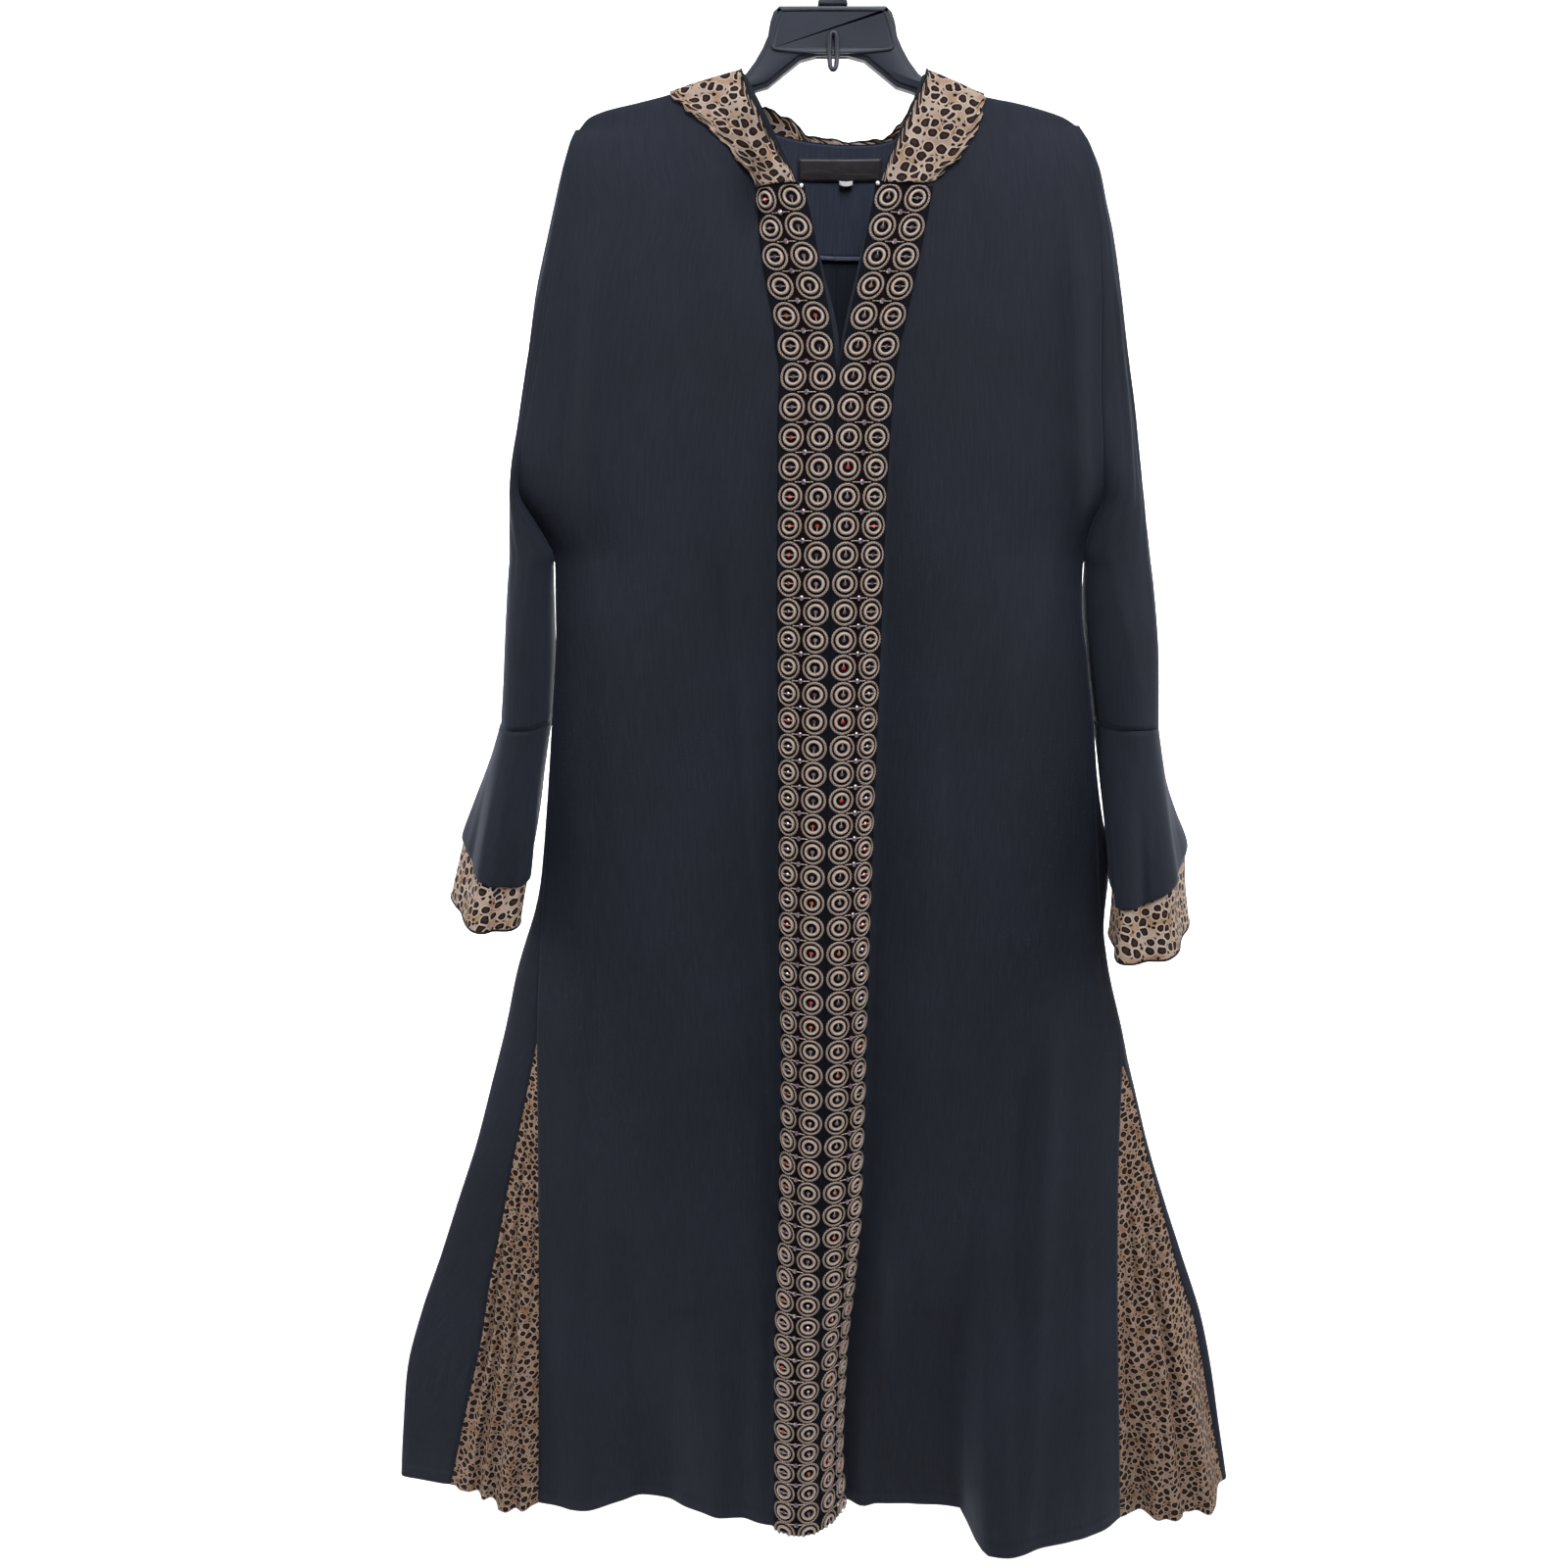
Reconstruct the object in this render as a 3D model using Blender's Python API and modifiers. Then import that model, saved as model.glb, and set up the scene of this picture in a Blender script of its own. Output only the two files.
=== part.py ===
"""Abaya with a chiffon collar, ring trim and bell cuffs, hanging on a moulded hanger.

The model is in metres with +Z up. Its origin is the inside top of the hanger's hook,
+X is to the viewer's right, +Y is away from the viewer. Tables and sizes below are in
millimetres and turned to metres once, when a mesh is made.
"""
import math

import bpy
from mathutils import Vector

MM = 0.001
LEFT, RIGHT = -1, 1
SIDE_NAME = {LEFT: "left", RIGHT: "right"}

# Walls of the cloths, and the gaps between pieces
CREPE = 1.6
CHIFFON = 1.0
TRIM_WALL = 1.4
LABEL_WALL = 1.0
SEAM_GAP = 0.45
SHOULDER_GAP = 1.2
MOST_BEND = math.radians(135)
LAYER_GAP = 0.45
LABEL_GAP = 0.3
TRIM_GAP = 0.6
UNDER_GAP = 1.1

# Heights that the pieces share
HEM_Z = -1565.0
UNDERARM_Z = -548.0
TRIM_TOP_Z = -228.5
CUFF_SEAM_Z = -704.0

# The trim: two rings to a strip, and the arc of front panel that it lies on
RING_PITCH = 25.4
STRIP_WIDTH = 2 * RING_PITCH
RIDGE_SPAN = 55.0

# The shoulder: radius of the roll over the hanger's arm, and how the cloth opens below it
SHOULDER_ROLL = 6.0
SHOULDER_DEPTH = 33.0
SHOULDER_SPREAD = 60.0
CREST_SLOPE = 0.25
CREST_GUESS_Z = -150.0


def smooth(value):
    """Ease from 0 to 1, flat at both ends."""
    value = min(1.0, max(0.0, value))
    return value * value * (3.0 - 2.0 * value)


def blend(first, second, share):
    """First at share 0, second at share 1."""
    return first + (second - first) * share


class Table:
    """Rows of named columns, read between rows by a curve that never overshoots them."""

    def __init__(self, names, *rows):
        self.names = names.split()
        self.rows = sorted(rows)
        self.keys = [row[0] for row in self.rows]
        self.slopes = {name: self.find_slopes(place) for place, name in enumerate(self.names)}

    def find_slopes(self, place):
        values = [row[place] for row in self.rows]
        steps = [
            (values[i + 1] - values[i]) / (self.keys[i + 1] - self.keys[i])
            for i in range(len(values) - 1)
        ]
        slopes = [steps[0]]
        for before, after in zip(steps, steps[1:]):
            same_way = before * after > 0.0
            slopes.append(2.0 * before * after / (before + after) if same_way else 0.0)
        slopes.append(steps[-1])
        return slopes

    def read(self, name, key):
        place = self.names.index(name)
        if key <= self.keys[0]:
            return self.rows[0][place]
        if key >= self.keys[-1]:
            return self.rows[-1][place]
        i = max(n for n, low in enumerate(self.keys) if low <= key)
        i = min(i, len(self.keys) - 2)
        width = self.keys[i + 1] - self.keys[i]
        t = (key - self.keys[i]) / width
        low, high = self.rows[i][place], self.rows[i + 1][place]
        slopes = self.slopes[name]
        return (
            (2 * t ** 3 - 3 * t ** 2 + 1) * low
            + (t ** 3 - 2 * t ** 2 + t) * width * slopes[i]
            + (3 * t ** 2 - 2 * t ** 3) * high
            + (t ** 3 - t ** 2) * width * slopes[i + 1]
        )


# The ridge under the trim: the centre front of each side, its depth, and how far the
# surface is turned, in degrees, at the left end, the middle and the right end
RIDGE = Table(
    "z left_x right_x y turn_left turn_middle turn_right",
    (-160, -23, 37, -34, -8, 0, 4),
    (-228, -23, 37, -33, -32, 0, 14),
    (-290, -10, 24, -37, -22, 0, 12),
    (-369, 6.8, 7.2, -41, -12, 0, 12),
    (-403, 4, 4, -44, -14, 0, 14),
    (-487, 1.5, 1.5, -50, -32, 0, 32),
    (-574, 0, 0, -53, -38, 0, 38),
    (-757, -1.5, -1.5, -57, -54, 0, 54),
    (-951, -3, -3, -61, -66, 0, 66),
    (-1054, -3, -3, -62, -72, 0, 72),
    (-1200, -5, -5, -61, -72, 0, 72),
    (-1269, -5, -5, -58, -70, 12, 76),
    (-1382, -6, -6, -52, -62, 34, 78),
    (-1500, -6, -6, -50, -58, 42, 78),
    (-1565, -5, -5, -54, -50, 36, 76),
)

# The upper edge of the fronts: out along the neck, then down along the shoulder
FRONT_TOP = {
    LEFT: Table("x z", (-222, -178), (-213, -168.5), (-198, -162.5), (-170, -156), (-141, -149),
                (-110, -139), (-79, -131.5), (-68, -150), (-55, -175), (-42, -201), (-32, -222),
                (-23, -228), (0, -228)),
    RIGHT: Table("x z", (214, -174.5), (203, -168), (185, -162), (163, -156.5), (132, -150.5),
                 (105, -140), (82, -131.5), (71, -154), (62, -179), (51, -204), (44, -221),
                 (37, -228), (0, -228)),
}

# The upper edge of the backs, with the shallower back neck
BACK_TOP = {
    LEFT: Table("x z", (-222, -178), (-213, -168.5), (-198, -162.5), (-170, -156), (-141, -149),
                (-110, -139), (-79, -131.5), (-70, -150), (-60, -166), (-50, -175), (-22, -181),
                (6, -184)),
    RIGHT: Table("x z", (214, -174.5), (203, -168), (185, -162), (163, -156.5), (132, -150.5),
                 (105, -140), (82, -131.5), (72, -155), (63, -172), (54, -181), (30, -184),
                 (6, -184)),
}

# The crest of each shoulder, carried on across the neck
SHOULDER_CREST = Table(
    "x z",
    (-222, -178), (-213, -168.5), (-198, -162.5), (-170, -156), (-141, -149), (-110, -139),
    (-79, -131.5), (-40, -121), (0, -113), (40, -121), (82, -131.5), (105, -140), (132, -150.5),
    (163, -156.5), (185, -162), (203, -168), (214, -174.5),
)

# The side edge of the fronts: armhole down to the underarm, then the side seam to the hem
FRONT_EDGE = {
    LEFT: Table("z x y", (-178, -222, 0), (-190, -227, 0), (-212, -231, 0), (-236, -234, 0),
                (-317, -249, 0), (-426, -273, 0), (-488, -284.5, 0), (-516, -272, 0), (-536, -262, 0),
                (-548, -257.4, -3), (-571, -255, -9), (-612, -254, -17), (-705, -261, -20),
                (-860, -276, -20), (-1023, -289, -20), (-1119, -292, -20), (-1285, -298, -18),
                (-1565, -310, -14)),
    RIGHT: Table("z x y", (-174.5, 214, 0), (-187, 221, 0), (-212, 227, 0), (-228, 230, 0),
                 (-309, 238, 0), (-401, 242, 0), (-460, 247, 0), (-495, 250, 0), (-516, 244, 0),
                 (-536, 240, 0), (-548, 239, -3), (-571, 236, -9), (-588, 235, -14),
                 (-650, 243, -19), (-724, 253, -20), (-860, 264, -20), (-945, 276, -20),
                 (-1049, 298, -20), (-1119, 299, -20), (-1285, 304, -24), (-1565, 319, -36)),
}

# The back half of each armhole
BACK_ARMHOLE = {
    LEFT: Table("z x", (-178, -222), (-190, -227), (-236, -233), (-317, -247), (-426, -262),
                (-491, -266), (-516, -265), (-536, -260), (-548, -257.4)),
    RIGHT: Table("z x", (-174.5, 214), (-187, 221), (-228, 228), (-309, 238), (-401, 246),
                 (-480, 250), (-516, 247), (-536, 241), (-548, 239)),
}

# Where each back panel turns round the side of the body
BACK_FOLD = {
    LEFT: Table("z x y", (-178, -208, 29), (-236, -222, 30), (-317, -236, 32), (-426, -250, 32),
                (-491, -255, 28), (-548, -256, 14), (-580, -256, 7), (-612, -256, 5),
                (-660, -259, 4), (-705, -263, 4), (-780, -270, 4), (-860, -280, 4),
                (-893, -288, 4), (-927, -300, 6), (-958, -310, 8), (-1021, -325, 10),
                (-1085, -343, 12), (-1151, -362, 15), (-1218, -385, 18), (-1286, -408, 21),
                (-1356, -433, 25), (-1427, -453, 29), (-1500, -463, 34), (-1565, -471, 40)),
    RIGHT: Table("z x y", (-174.5, 200, 29), (-228, 217, 30), (-309, 228, 32), (-401, 236, 32),
                 (-480, 241, 28), (-548, 238, 14), (-585, 238, 12), (-650, 245.6, 16),
                 (-706, 254.4, 22), (-757, 262, 25), (-806, 272.6, 25), (-847, 282, 25),
                 (-870, 280, 21), (-890, 276.5, 14), (-910, 274, 8), (-945, 279, 5),
                 (-1021, 299, 9), (-1085, 316, 12), (-1151, 335, 16), (-1218, 358, 20),
                 (-1286, 383, 26), (-1356, 408, 32), (-1427, 426, 36), (-1500, 440, 40),
                 (-1565, 452, 42)),
}

# Where a godet ends at its top, and its seam to the back panel below that
GODET_TOP_Z = {LEFT: -1025.0, RIGHT: -1049.0}
GODET_START = 40.0
GODET_CORNER = 1.2
GODET_BACK = {
    LEFT: Table("z x y", (-1025, -289, -20), (-1098, -306, -13), (-1170, -323, -8),
                (-1234, -337, -4), (-1309, -354, -1), (-1378, -367, 2), (-1451, -385, 6),
                (-1565, -412, 12)),
    RIGHT: Table("z x y", (-1049, 298, -20), (-1083, 311, -14), (-1151, 331, -6),
                 (-1229, 356, 2), (-1308, 381, 10), (-1362, 401, 15), (-1409, 413, 19),
                 (-1478, 428, 22), (-1565, 447, 18)),
}

# Depth of the front and back halfway out, away from the trim and the sides
BODY_DEPTH = Table(
    "z front back",
    (-180, 30, 31), (-369, 38, 38), (-487, 42, 41), (-757, 46, 48), (-1054, 48, 58),
    (-1269, 45, 68), (-1565, 40, 82),
)

# Each sleeve by height: outline, inner side, and half its depth from front to back
SLEEVE = {
    LEFT: Table("z outer_x inner_x depth", (-178, -225.5, 0, 2.2), (-187, -229.5, 0, 10),
                (-200, -234, 0, 14), (-212, -238, 0, 17), (-238, -245, 0, 21),
                (-264, -252, 0, 24), (-314, -265, 0, 27), (-365, -274, 0, 28),
                (-417, -283, 0, 29), (-469, -292.5, 0, 31), (-523, -298, 0, 36),
                (-548, -299, -259.6, 39), (-577, -302, -260.6, 43), (-633, -307, -262, 51),
                (-704, -313, -267.5, 56)),
    RIGHT: Table("z outer_x inner_x depth", (-174.5, 217.5, 0, 2.2), (-187, 225.5, 0, 10),
                 (-200, 232, 0, 14), (-212, 237, 0, 17), (-238, 243, 0, 21),
                 (-264, 250, 0, 24), (-314, 260, 0, 27), (-365, 269, 0, 28),
                 (-417, 279, 0, 29), (-469, 287, 0, 31), (-523, 296, 0, 36),
                 (-548, 300, 241.4, 39), (-577, 305, 241.6, 43), (-633, 312, 247, 51),
                 (-704, 315, 258, 56)),
}

# Soft folds of the fronts: a line from one point to another, its half width and its rise
# towards the viewer, and the length over which it fades in and out
FOLDS = {
    LEFT: (
        dict(x0=-112, z0=-430, x1=-66, z1=-1190, width=17, rise=-9, fade=180),
        dict(x0=-206, z0=-215, x1=-216, z1=-560, width=15, rise=6, fade=110),
        dict(x0=-150, z0=-820, x1=-185, z1=-1640, width=40, rise=8, fade=260),
    ),
    RIGHT: (
        dict(x0=211, z0=-215, x1=229, z1=-560, width=13, rise=7, fade=110),
        dict(x0=70, z0=-520, x1=66, z1=-1230, width=20, rise=-7, fade=200),
        dict(x0=52, z0=-1180, x1=76, z1=-1600, width=11, rise=9, fade=110),
        dict(x0=223, z0=-960, x1=215, z1=-1640, width=14, rise=7, fade=160),
    ),
}

# The hem seen from below: share of the way out from the trim to the side, and depth
FRONT_HEM = {
    LEFT: Table("share y", (0.0, -40), (0.05, -45), (0.13, -38), (0.22, -39), (0.30, -29),
                (0.37, -20), (0.45, -7), (0.56, -3), (0.66, -13), (0.80, -27), (0.91, -21),
                (1.0, -14)),
    RIGHT: Table("share y", (0.0, -14), (0.07, -17), (0.20, -16), (0.33, -16), (0.42, -21),
                 (0.455, -66), (0.49, -90), (0.56, -94), (0.68, -80), (0.80, -70), (0.91, -57),
                 (1.0, -36)),
}
GODET_HEM = {
    LEFT: Table("share y", (0.0, -14), (0.15, -17), (0.32, -25), (0.48, -21), (0.66, -4),
                (0.84, 6), (1.0, 12)),
    RIGHT: Table("share y", (0.0, -36), (0.18, -27), (0.34, -40), (0.50, -38), (0.66, -28),
                 (0.82, -22), (1.0, 18)),
}
HEM_WAVE_TOP_Z = -1120.0
HEM_WAVE_GROWTH = 1.3
BACK_WAVES = dict(count=2.5, depth=11.0, phase=0.9)

# How a front comes out of the ridge under its trim, and how its folds and hem begin and end
RIDGE_FALL = 22.0
SIDE_CALM = 12.0
HEM_START = 9.0

# The back in plan: two places on its flat middle, and the one where it begins to turn
BACK_FLAT = ((0.36, 0.0), (0.70, 0.05))
BACK_TURN = 0.93
BACK_TURN_DEPTH = 0.55
BACK_STEP = 6.0
BACK_STEP_LENGTH = 23.0

# Rows down a panel: shares of the armhole, then heights to the hem, with one at the godet's top
ARMHOLE_ROWS = (0.0, 0.004, 0.016, 0.049, 0.092, 0.157, 0.262, 0.376, 0.519, 0.67, 0.776,
                0.846, 0.884, 0.914, 0.968, 1.0)
TRIM_ROWS_FROM = 0.24
ROWS_TO_GODET = (-571, -612, -658, -704, -780, -860, -945)
ROWS_BY_GODET = (-1100, -1180, -1265, -1350, -1430, -1505, HEM_Z)
RIDGE_COLUMNS = {
    LEFT: (0.0, 0.25, 0.5, 0.75, 1.0),
    RIGHT: (0.0, 0.25, 0.5, 0.72, 0.79, 0.845, 1.0),
}
FRONT_COLUMNS = {
    LEFT: (0.042, 0.0625, 0.16, 0.26, 0.36, 0.46, 0.57, 0.68, 0.79, 0.90, 1.0),
    RIGHT: (0.08, 0.20, 0.33, 0.42, 0.465, 0.52, 0.62, 0.75, 0.88, 1.0),
}
BACK_COLUMNS = (0.0, 0.08, 0.155, 0.207, 0.225, 0.31, 0.42, 0.55, 0.68, 0.8, 0.9, 1.0)
GODET_COLUMNS = (0.0, 0.17, 0.34, 0.5, 0.66, 0.83, 1.0)
CENTRE_BACK_X = 6.0

# Where the armholes and the sleeves turn under
TURN_UNDER_FROM = 0.67
UNDERARM_TURN = math.radians(175.5)
SLEEVE_TURN = math.radians(168)
SLEEVE_TURN_LENGTH = 60.0
SLEEVE_POINTS = 7
UNDERARM_STEP = 2.0
UNDERARM_STEP_FROM = 0.8

# Cuffs, each from its seam to its hem: centre, half width, half depth, how far the front
# lies to the right of the back, and the slopes of the ring. The chiffon follows the bell
# inside it and goes on to the last two rows
CUFFS = {
    LEFT: dict(
        bell=Table("share x y wide deep skew z slope_out slope_front",
                   (0.0, -290.25, 0, 22.75, 56, 0, -704.6, 0, 0),
                   (0.33, -301, -4, 27, 61, 5, -749, 2, -5),
                   (0.67, -311, -8, 31, 67, 9, -792, 5, -13),
                   (1.0, -320, -10, 33, 72, 13, -828, 8, -20),
                   (1.5, -327, -11, 33, 76, 16, -856, 5, -13),
                   (2.0, -333, -12, 33, 80, 18, -882, 3, -6)),
        waves=5, phase=0.6,
    ),
    RIGHT: dict(
        bell=Table("share x y wide deep skew z slope_out slope_front",
                   (0.0, 286.5, 0, 28.5, 56, 0, -704.6, 0, 0),
                   (0.33, 295, -9, 31, 61, -9, -757, 3, -5),
                   (0.67, 304, -18, 33, 67, -18, -806, 7, -10),
                   (1.0, 311, -24, 35, 72, -25, -847, 11, -15),
                   (1.5, 312, -26, 35, 76, -27, -879, 6, -9),
                   (2.0, 314.5, -27, 37, 80, -28, -910, 1, -3)),
        waves=5, phase=2.2,
    ),
}
BELL_RINGS = (0.0, 0.33, 0.67, 1.0)
UNDER_RINGS = (0.0, 0.33, 0.67, 1.0, 1.5, 2.0)
CUFF_POINTS = 28
CUFF_WAVE = 0.1
UNDER_INSET = (CREPE + CHIFFON) / 2 + UNDER_GAP

# The collar on the fronts and round the back: inner edge, then outer edge
COLLAR_FRONT = {
    LEFT: ((-79, -131.5, -141, -149), (-78.7, -132.6, -140.8, -150.1), (-78.3, -135, -140, -152.6),
           (-77, -139, -137, -156), (-73, -150, -127, -164), (-64, -168, -112, -177),
           (-54, -187, -97, -190), (-44, -204, -82, -205), (-36, -216, -72, -216),
           (-30, -226.5, -65, -226.5)),
    RIGHT: ((82, -131.5, 132, -150.5), (81.8, -132.6, 132, -151.6), (81.4, -135, 132, -154),
            (80.3, -139, 131.7, -158.5), (76, -149, 130.5, -168), (69, -164, 125, -182),
            (60, -182, 117, -196), (52, -200, 107, -208), (46, -214, 96, -218),
            (41, -226.5, 86, -226.5)),
}
COLLAR_BACK = (
    (-79, -131.5, -141, -149), (-78.8, -132.6, -140.9, -150.1), (-78.4, -135, -140.5, -152.6),
    (-77, -139, -139, -158), (-72, -147, -134, -172), (-64, -154, -122, -192),
    (-53, -157, -103, -212), (-36, -164, -74, -228), (-20, -175.5, -38, -238),
    (6, -180.5, 4, -243), (34, -181, 45, -238), (51, -177, 80, -226), (62, -167, 107, -208),
    (71, -154, 123, -188), (79, -139, 131, -162), (81.4, -135, 132, -154),
    (81.8, -132.6, 132, -151.6), (82, -131.5, 132, -150.5),
)
COLLAR_COLUMNS = (0.0, 0.33, 0.67, 1.0)
COLLAR_LIFT = 3.0

# The facing inside the back neck, and what is sewn on it
FACING_ROWS = 7
FACING_COLUMNS = 3
FACING_SHORTER = 1.0
LABEL_COLUMNS = (0.0, 0.33, 0.67, 1.0)
LABEL = dict(left=-29.0, right=48.0, top=-196.0, bottom=-214.5)
SIZE_TAB = dict(left=8.0, right=20.0, top=-215.0, bottom=-220.5)

# The hanger's body: its arms follow the shoulders, and its crown and arch are given from
# the middle out, as X and Z
HANGER_THICK = 8.0
HANGER_EDGE = 3.0
ARM_DROP = 1.0
TIP_DROP = 4.0
TIP_ROUND = 0.6
ARM_HEIGHT = 17.0
HANGER_TIP = {LEFT: -205.0, RIGHT: 197.0}
HANGER_NECK = 84.0
ARM_OVER = (0.0, 0.08, 0.2, 0.4, 0.6, 0.8, 1.0)
ARM_UNDER = (0.1, 0.3, 0.6, 0.9)
HANGER_CROWN = ((44, -78.5), (50, -83), (54, -92), (56, -103), (60.5, -112.5), (67, -123),
                (75, -132.8), (79, -135.6))
HANGER_ARCH = ((14, -119), (28, -122.5), (42, -133), (56, -143.5))

# The cap plate on the hanger's front, as X and Z of its right half
CAP_THICK = 2.4
CAP_EDGE = 0.8
CAP_HALF = ((43, -82), (48, -88), (54, -111), (50, -114.5), (18, -117.5))

# The small hook under the cap plate: how far it stands out, and its height
SMALL_HOOK_WIRE = 4.6
SMALL_HOOK = ((0.0, -104), (0.0, -112), (0.3, -120), (1.6, -126), (4.6, -129), (8.2, -127.5),
              (9.6, -123))
SMALL_HOOK_X = 0.5

# The boss on the hanger's top, as X and Z of its right half, and the hook in it
BOSS_EDGE = 1.0
BOSS_HALF = ((13, -78.2), (10, -72), (6, -68), (5, -66))
HOOK_WIRE = 3.6
HOOK_INSIDE = 19.0
HOOK_STEM = ((0.0, -65.6), (0.0, -58.0), (1.2, -51.0), (5.5, -44.5), (11.5, -38.5))
HOOK_ARC = dict(start=-40, end=195, steps=16)

MATERIALS = {
    "crepe": ((0.016, 0.018, 0.022), 0.85, 0.0),
    "chiffon": ((0.42, 0.31, 0.20), 0.7, 0.0),
    "ring_trim": ((0.17, 0.13, 0.10), 0.55, 0.1),
    "label_satin": ((0.02, 0.012, 0.01), 0.5, 0.0),
    "tab_white": ((0.75, 0.75, 0.72), 0.6, 0.0),
    "hanger_plastic": ((0.01, 0.01, 0.012), 0.25, 0.0),
    "hook_steel": ((0.6, 0.6, 0.62), 0.25, 1.0),
}


# Surfaces

def ridge_point(side, share, z):
    """Point of the ridge under the trim, share of its span out from the centre front."""
    start = RIDGE.read("left_x" if side == LEFT else "right_x", z)
    y = RIDGE.read("y", z)
    middle = math.radians(RIDGE.read("turn_middle", z))
    end = math.radians(RIDGE.read("turn_left" if side == LEFT else "turn_right", z))
    length = side * share * RIDGE_SPAN
    rate = (end - middle) / (side * RIDGE_SPAN)
    turned = middle + rate * length
    if abs(rate) < 1e-6:
        return start + length * math.cos(middle), y + length * math.sin(middle)
    x = start + (math.sin(turned) - math.sin(middle)) / rate
    return x, y - (math.cos(turned) - math.cos(middle)) / rate


def ridge_normal(side, share, z):
    """Direction out of the ridge, towards the viewer."""
    middle = math.radians(RIDGE.read("turn_middle", z))
    end = math.radians(RIDGE.read("turn_left" if side == LEFT else "turn_right", z))
    turned = blend(middle, end, share)
    return Vector((math.sin(turned), -math.cos(turned), 0.0))


def shoulder_share(x, z):
    """How far the cloth has opened from its crest, 0 on the crest and 1 well below it."""
    drop = max(0.0, SHOULDER_CREST.read("z", x) - z)
    rounded = min(drop, SHOULDER_ROLL) / SHOULDER_ROLL
    roll = SHOULDER_ROLL * math.sqrt(1.0 - (1.0 - rounded) ** 2)
    spread = (SHOULDER_DEPTH - SHOULDER_ROLL) * (1.0 - math.exp(-drop / SHOULDER_SPREAD))
    return (roll + spread) / SHOULDER_DEPTH


def shoulder_tip(side):
    """Height of the outer end of a shoulder."""
    rows = FRONT_TOP[side].rows
    return rows[0][1] if side == LEFT else rows[-1][1]


def armhole_share(side, z):
    """0 at the shoulder tip and 1 at the underarm."""
    tip = shoulder_tip(side)
    return (z - tip) / (UNDERARM_Z - tip)


def armhole_turn(share):
    """Angle from the sleeve's outer side to the armhole's edge."""
    under = smooth((share - TURN_UNDER_FROM) / (1.0 - TURN_UNDER_FROM))
    return blend(math.pi / 2, UNDERARM_TURN, under)


def armhole_depth(side, z):
    """Depth of the armhole's edge in front of or behind the hanger's plane."""
    turn = armhole_turn(armhole_share(side, z))
    return SLEEVE[side].read("depth", z) * math.sin(turn)


def front_edge(side, z):
    """Side edge of a front panel."""
    x = FRONT_EDGE[side].read("x", z)
    if z >= UNDERARM_Z:
        return x, -armhole_depth(side, z)
    return x, FRONT_EDGE[side].read("y", z)


def fold_rise(side, x, z):
    """Sum of the soft folds at a place on a front."""
    rise = 0.0
    for fold in FOLDS[side]:
        if not fold["z1"] < z < fold["z0"]:
            continue
        along = (fold["z0"] - z) / (fold["z0"] - fold["z1"])
        middle = blend(fold["x0"], fold["x1"], along)
        ends = smooth((fold["z0"] - z) / fold["fade"]) * smooth((z - fold["z1"]) / fold["fade"])
        rise += fold["rise"] * ends * math.exp(-((x - middle) / fold["width"]) ** 2)
    return rise


def hem_share(z):
    """How much of the hem's waves shows at this height."""
    return smooth((HEM_WAVE_TOP_Z - z) / (HEM_WAVE_TOP_Z - HEM_Z)) ** HEM_WAVE_GROWTH


def front_cloth(side, share, z):
    """Point of a front panel, share of the way from the trim's edge to the side."""
    near_x, near_y = ridge_point(side, 1.0, z)
    edge_x, edge_y = front_edge(side, z)
    x = blend(near_x, edge_x, share)
    y = -BODY_DEPTH.read("front", z)
    y = blend(y, near_y, math.exp(-((x - near_x) / RIDGE_FALL) ** 2))
    y = blend(y * shoulder_share(x, z), edge_y, share ** 4)
    y -= fold_rise(side, x, z) * smooth((1.0 - share) * SIDE_CALM) * shoulder_share(x, z)
    return x, blend(y, FRONT_HEM[side].read("y", share), hem_share(z) * smooth(share * HEM_START))


def front_column(side, column, z):
    """Point of a front panel: a ridge share, or one more than a cloth share."""
    if column <= 1.0:
        x, y = ridge_point(side, column, z)
        return x, y * shoulder_share(x, z)
    return front_cloth(side, column - 1.0, z)


def front_y(side, x, z):
    """Depth of a front panel at a place seen from the front."""
    low, high = 0.0, 2.0
    for _ in range(40):
        middle = (low + high) / 2
        inside = (front_column(side, middle, z)[0] - x) * side < 0
        low, high = (middle, high) if inside else (low, middle)
    return front_column(side, (low + high) / 2, z)[1]


def back_seam(side, z):
    """Side edge of a back panel: armhole, side seam, then the godet's back seam."""
    if z >= UNDERARM_Z:
        return BACK_ARMHOLE[side].read("x", z), armhole_depth(side, z)
    if z >= GODET_TOP_Z[side]:
        x, y = front_edge(side, z)
        return x, y + BACK_STEP * smooth((z - UNDERARM_Z) / BACK_STEP_LENGTH + 1.0)
    return GODET_BACK[side].read("x", z), GODET_BACK[side].read("y", z)


def curve_through(points, share):
    """Place on a smooth curve through points, each at the same share from the last."""
    count = len(points) - 1
    i = min(count - 1, int(share * count))
    t = share * count - i
    ends = [2 * points[0] - points[1]] + points + [2 * points[-1] - points[-2]]
    a, b, c, d = ends[i:i + 4]
    return (
        2 * b + (c - a) * t + (2 * a - 5 * b + 4 * c - d) * t ** 2
        + (3 * b - a - 3 * c + d) * t ** 3
    ) / 2


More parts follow.
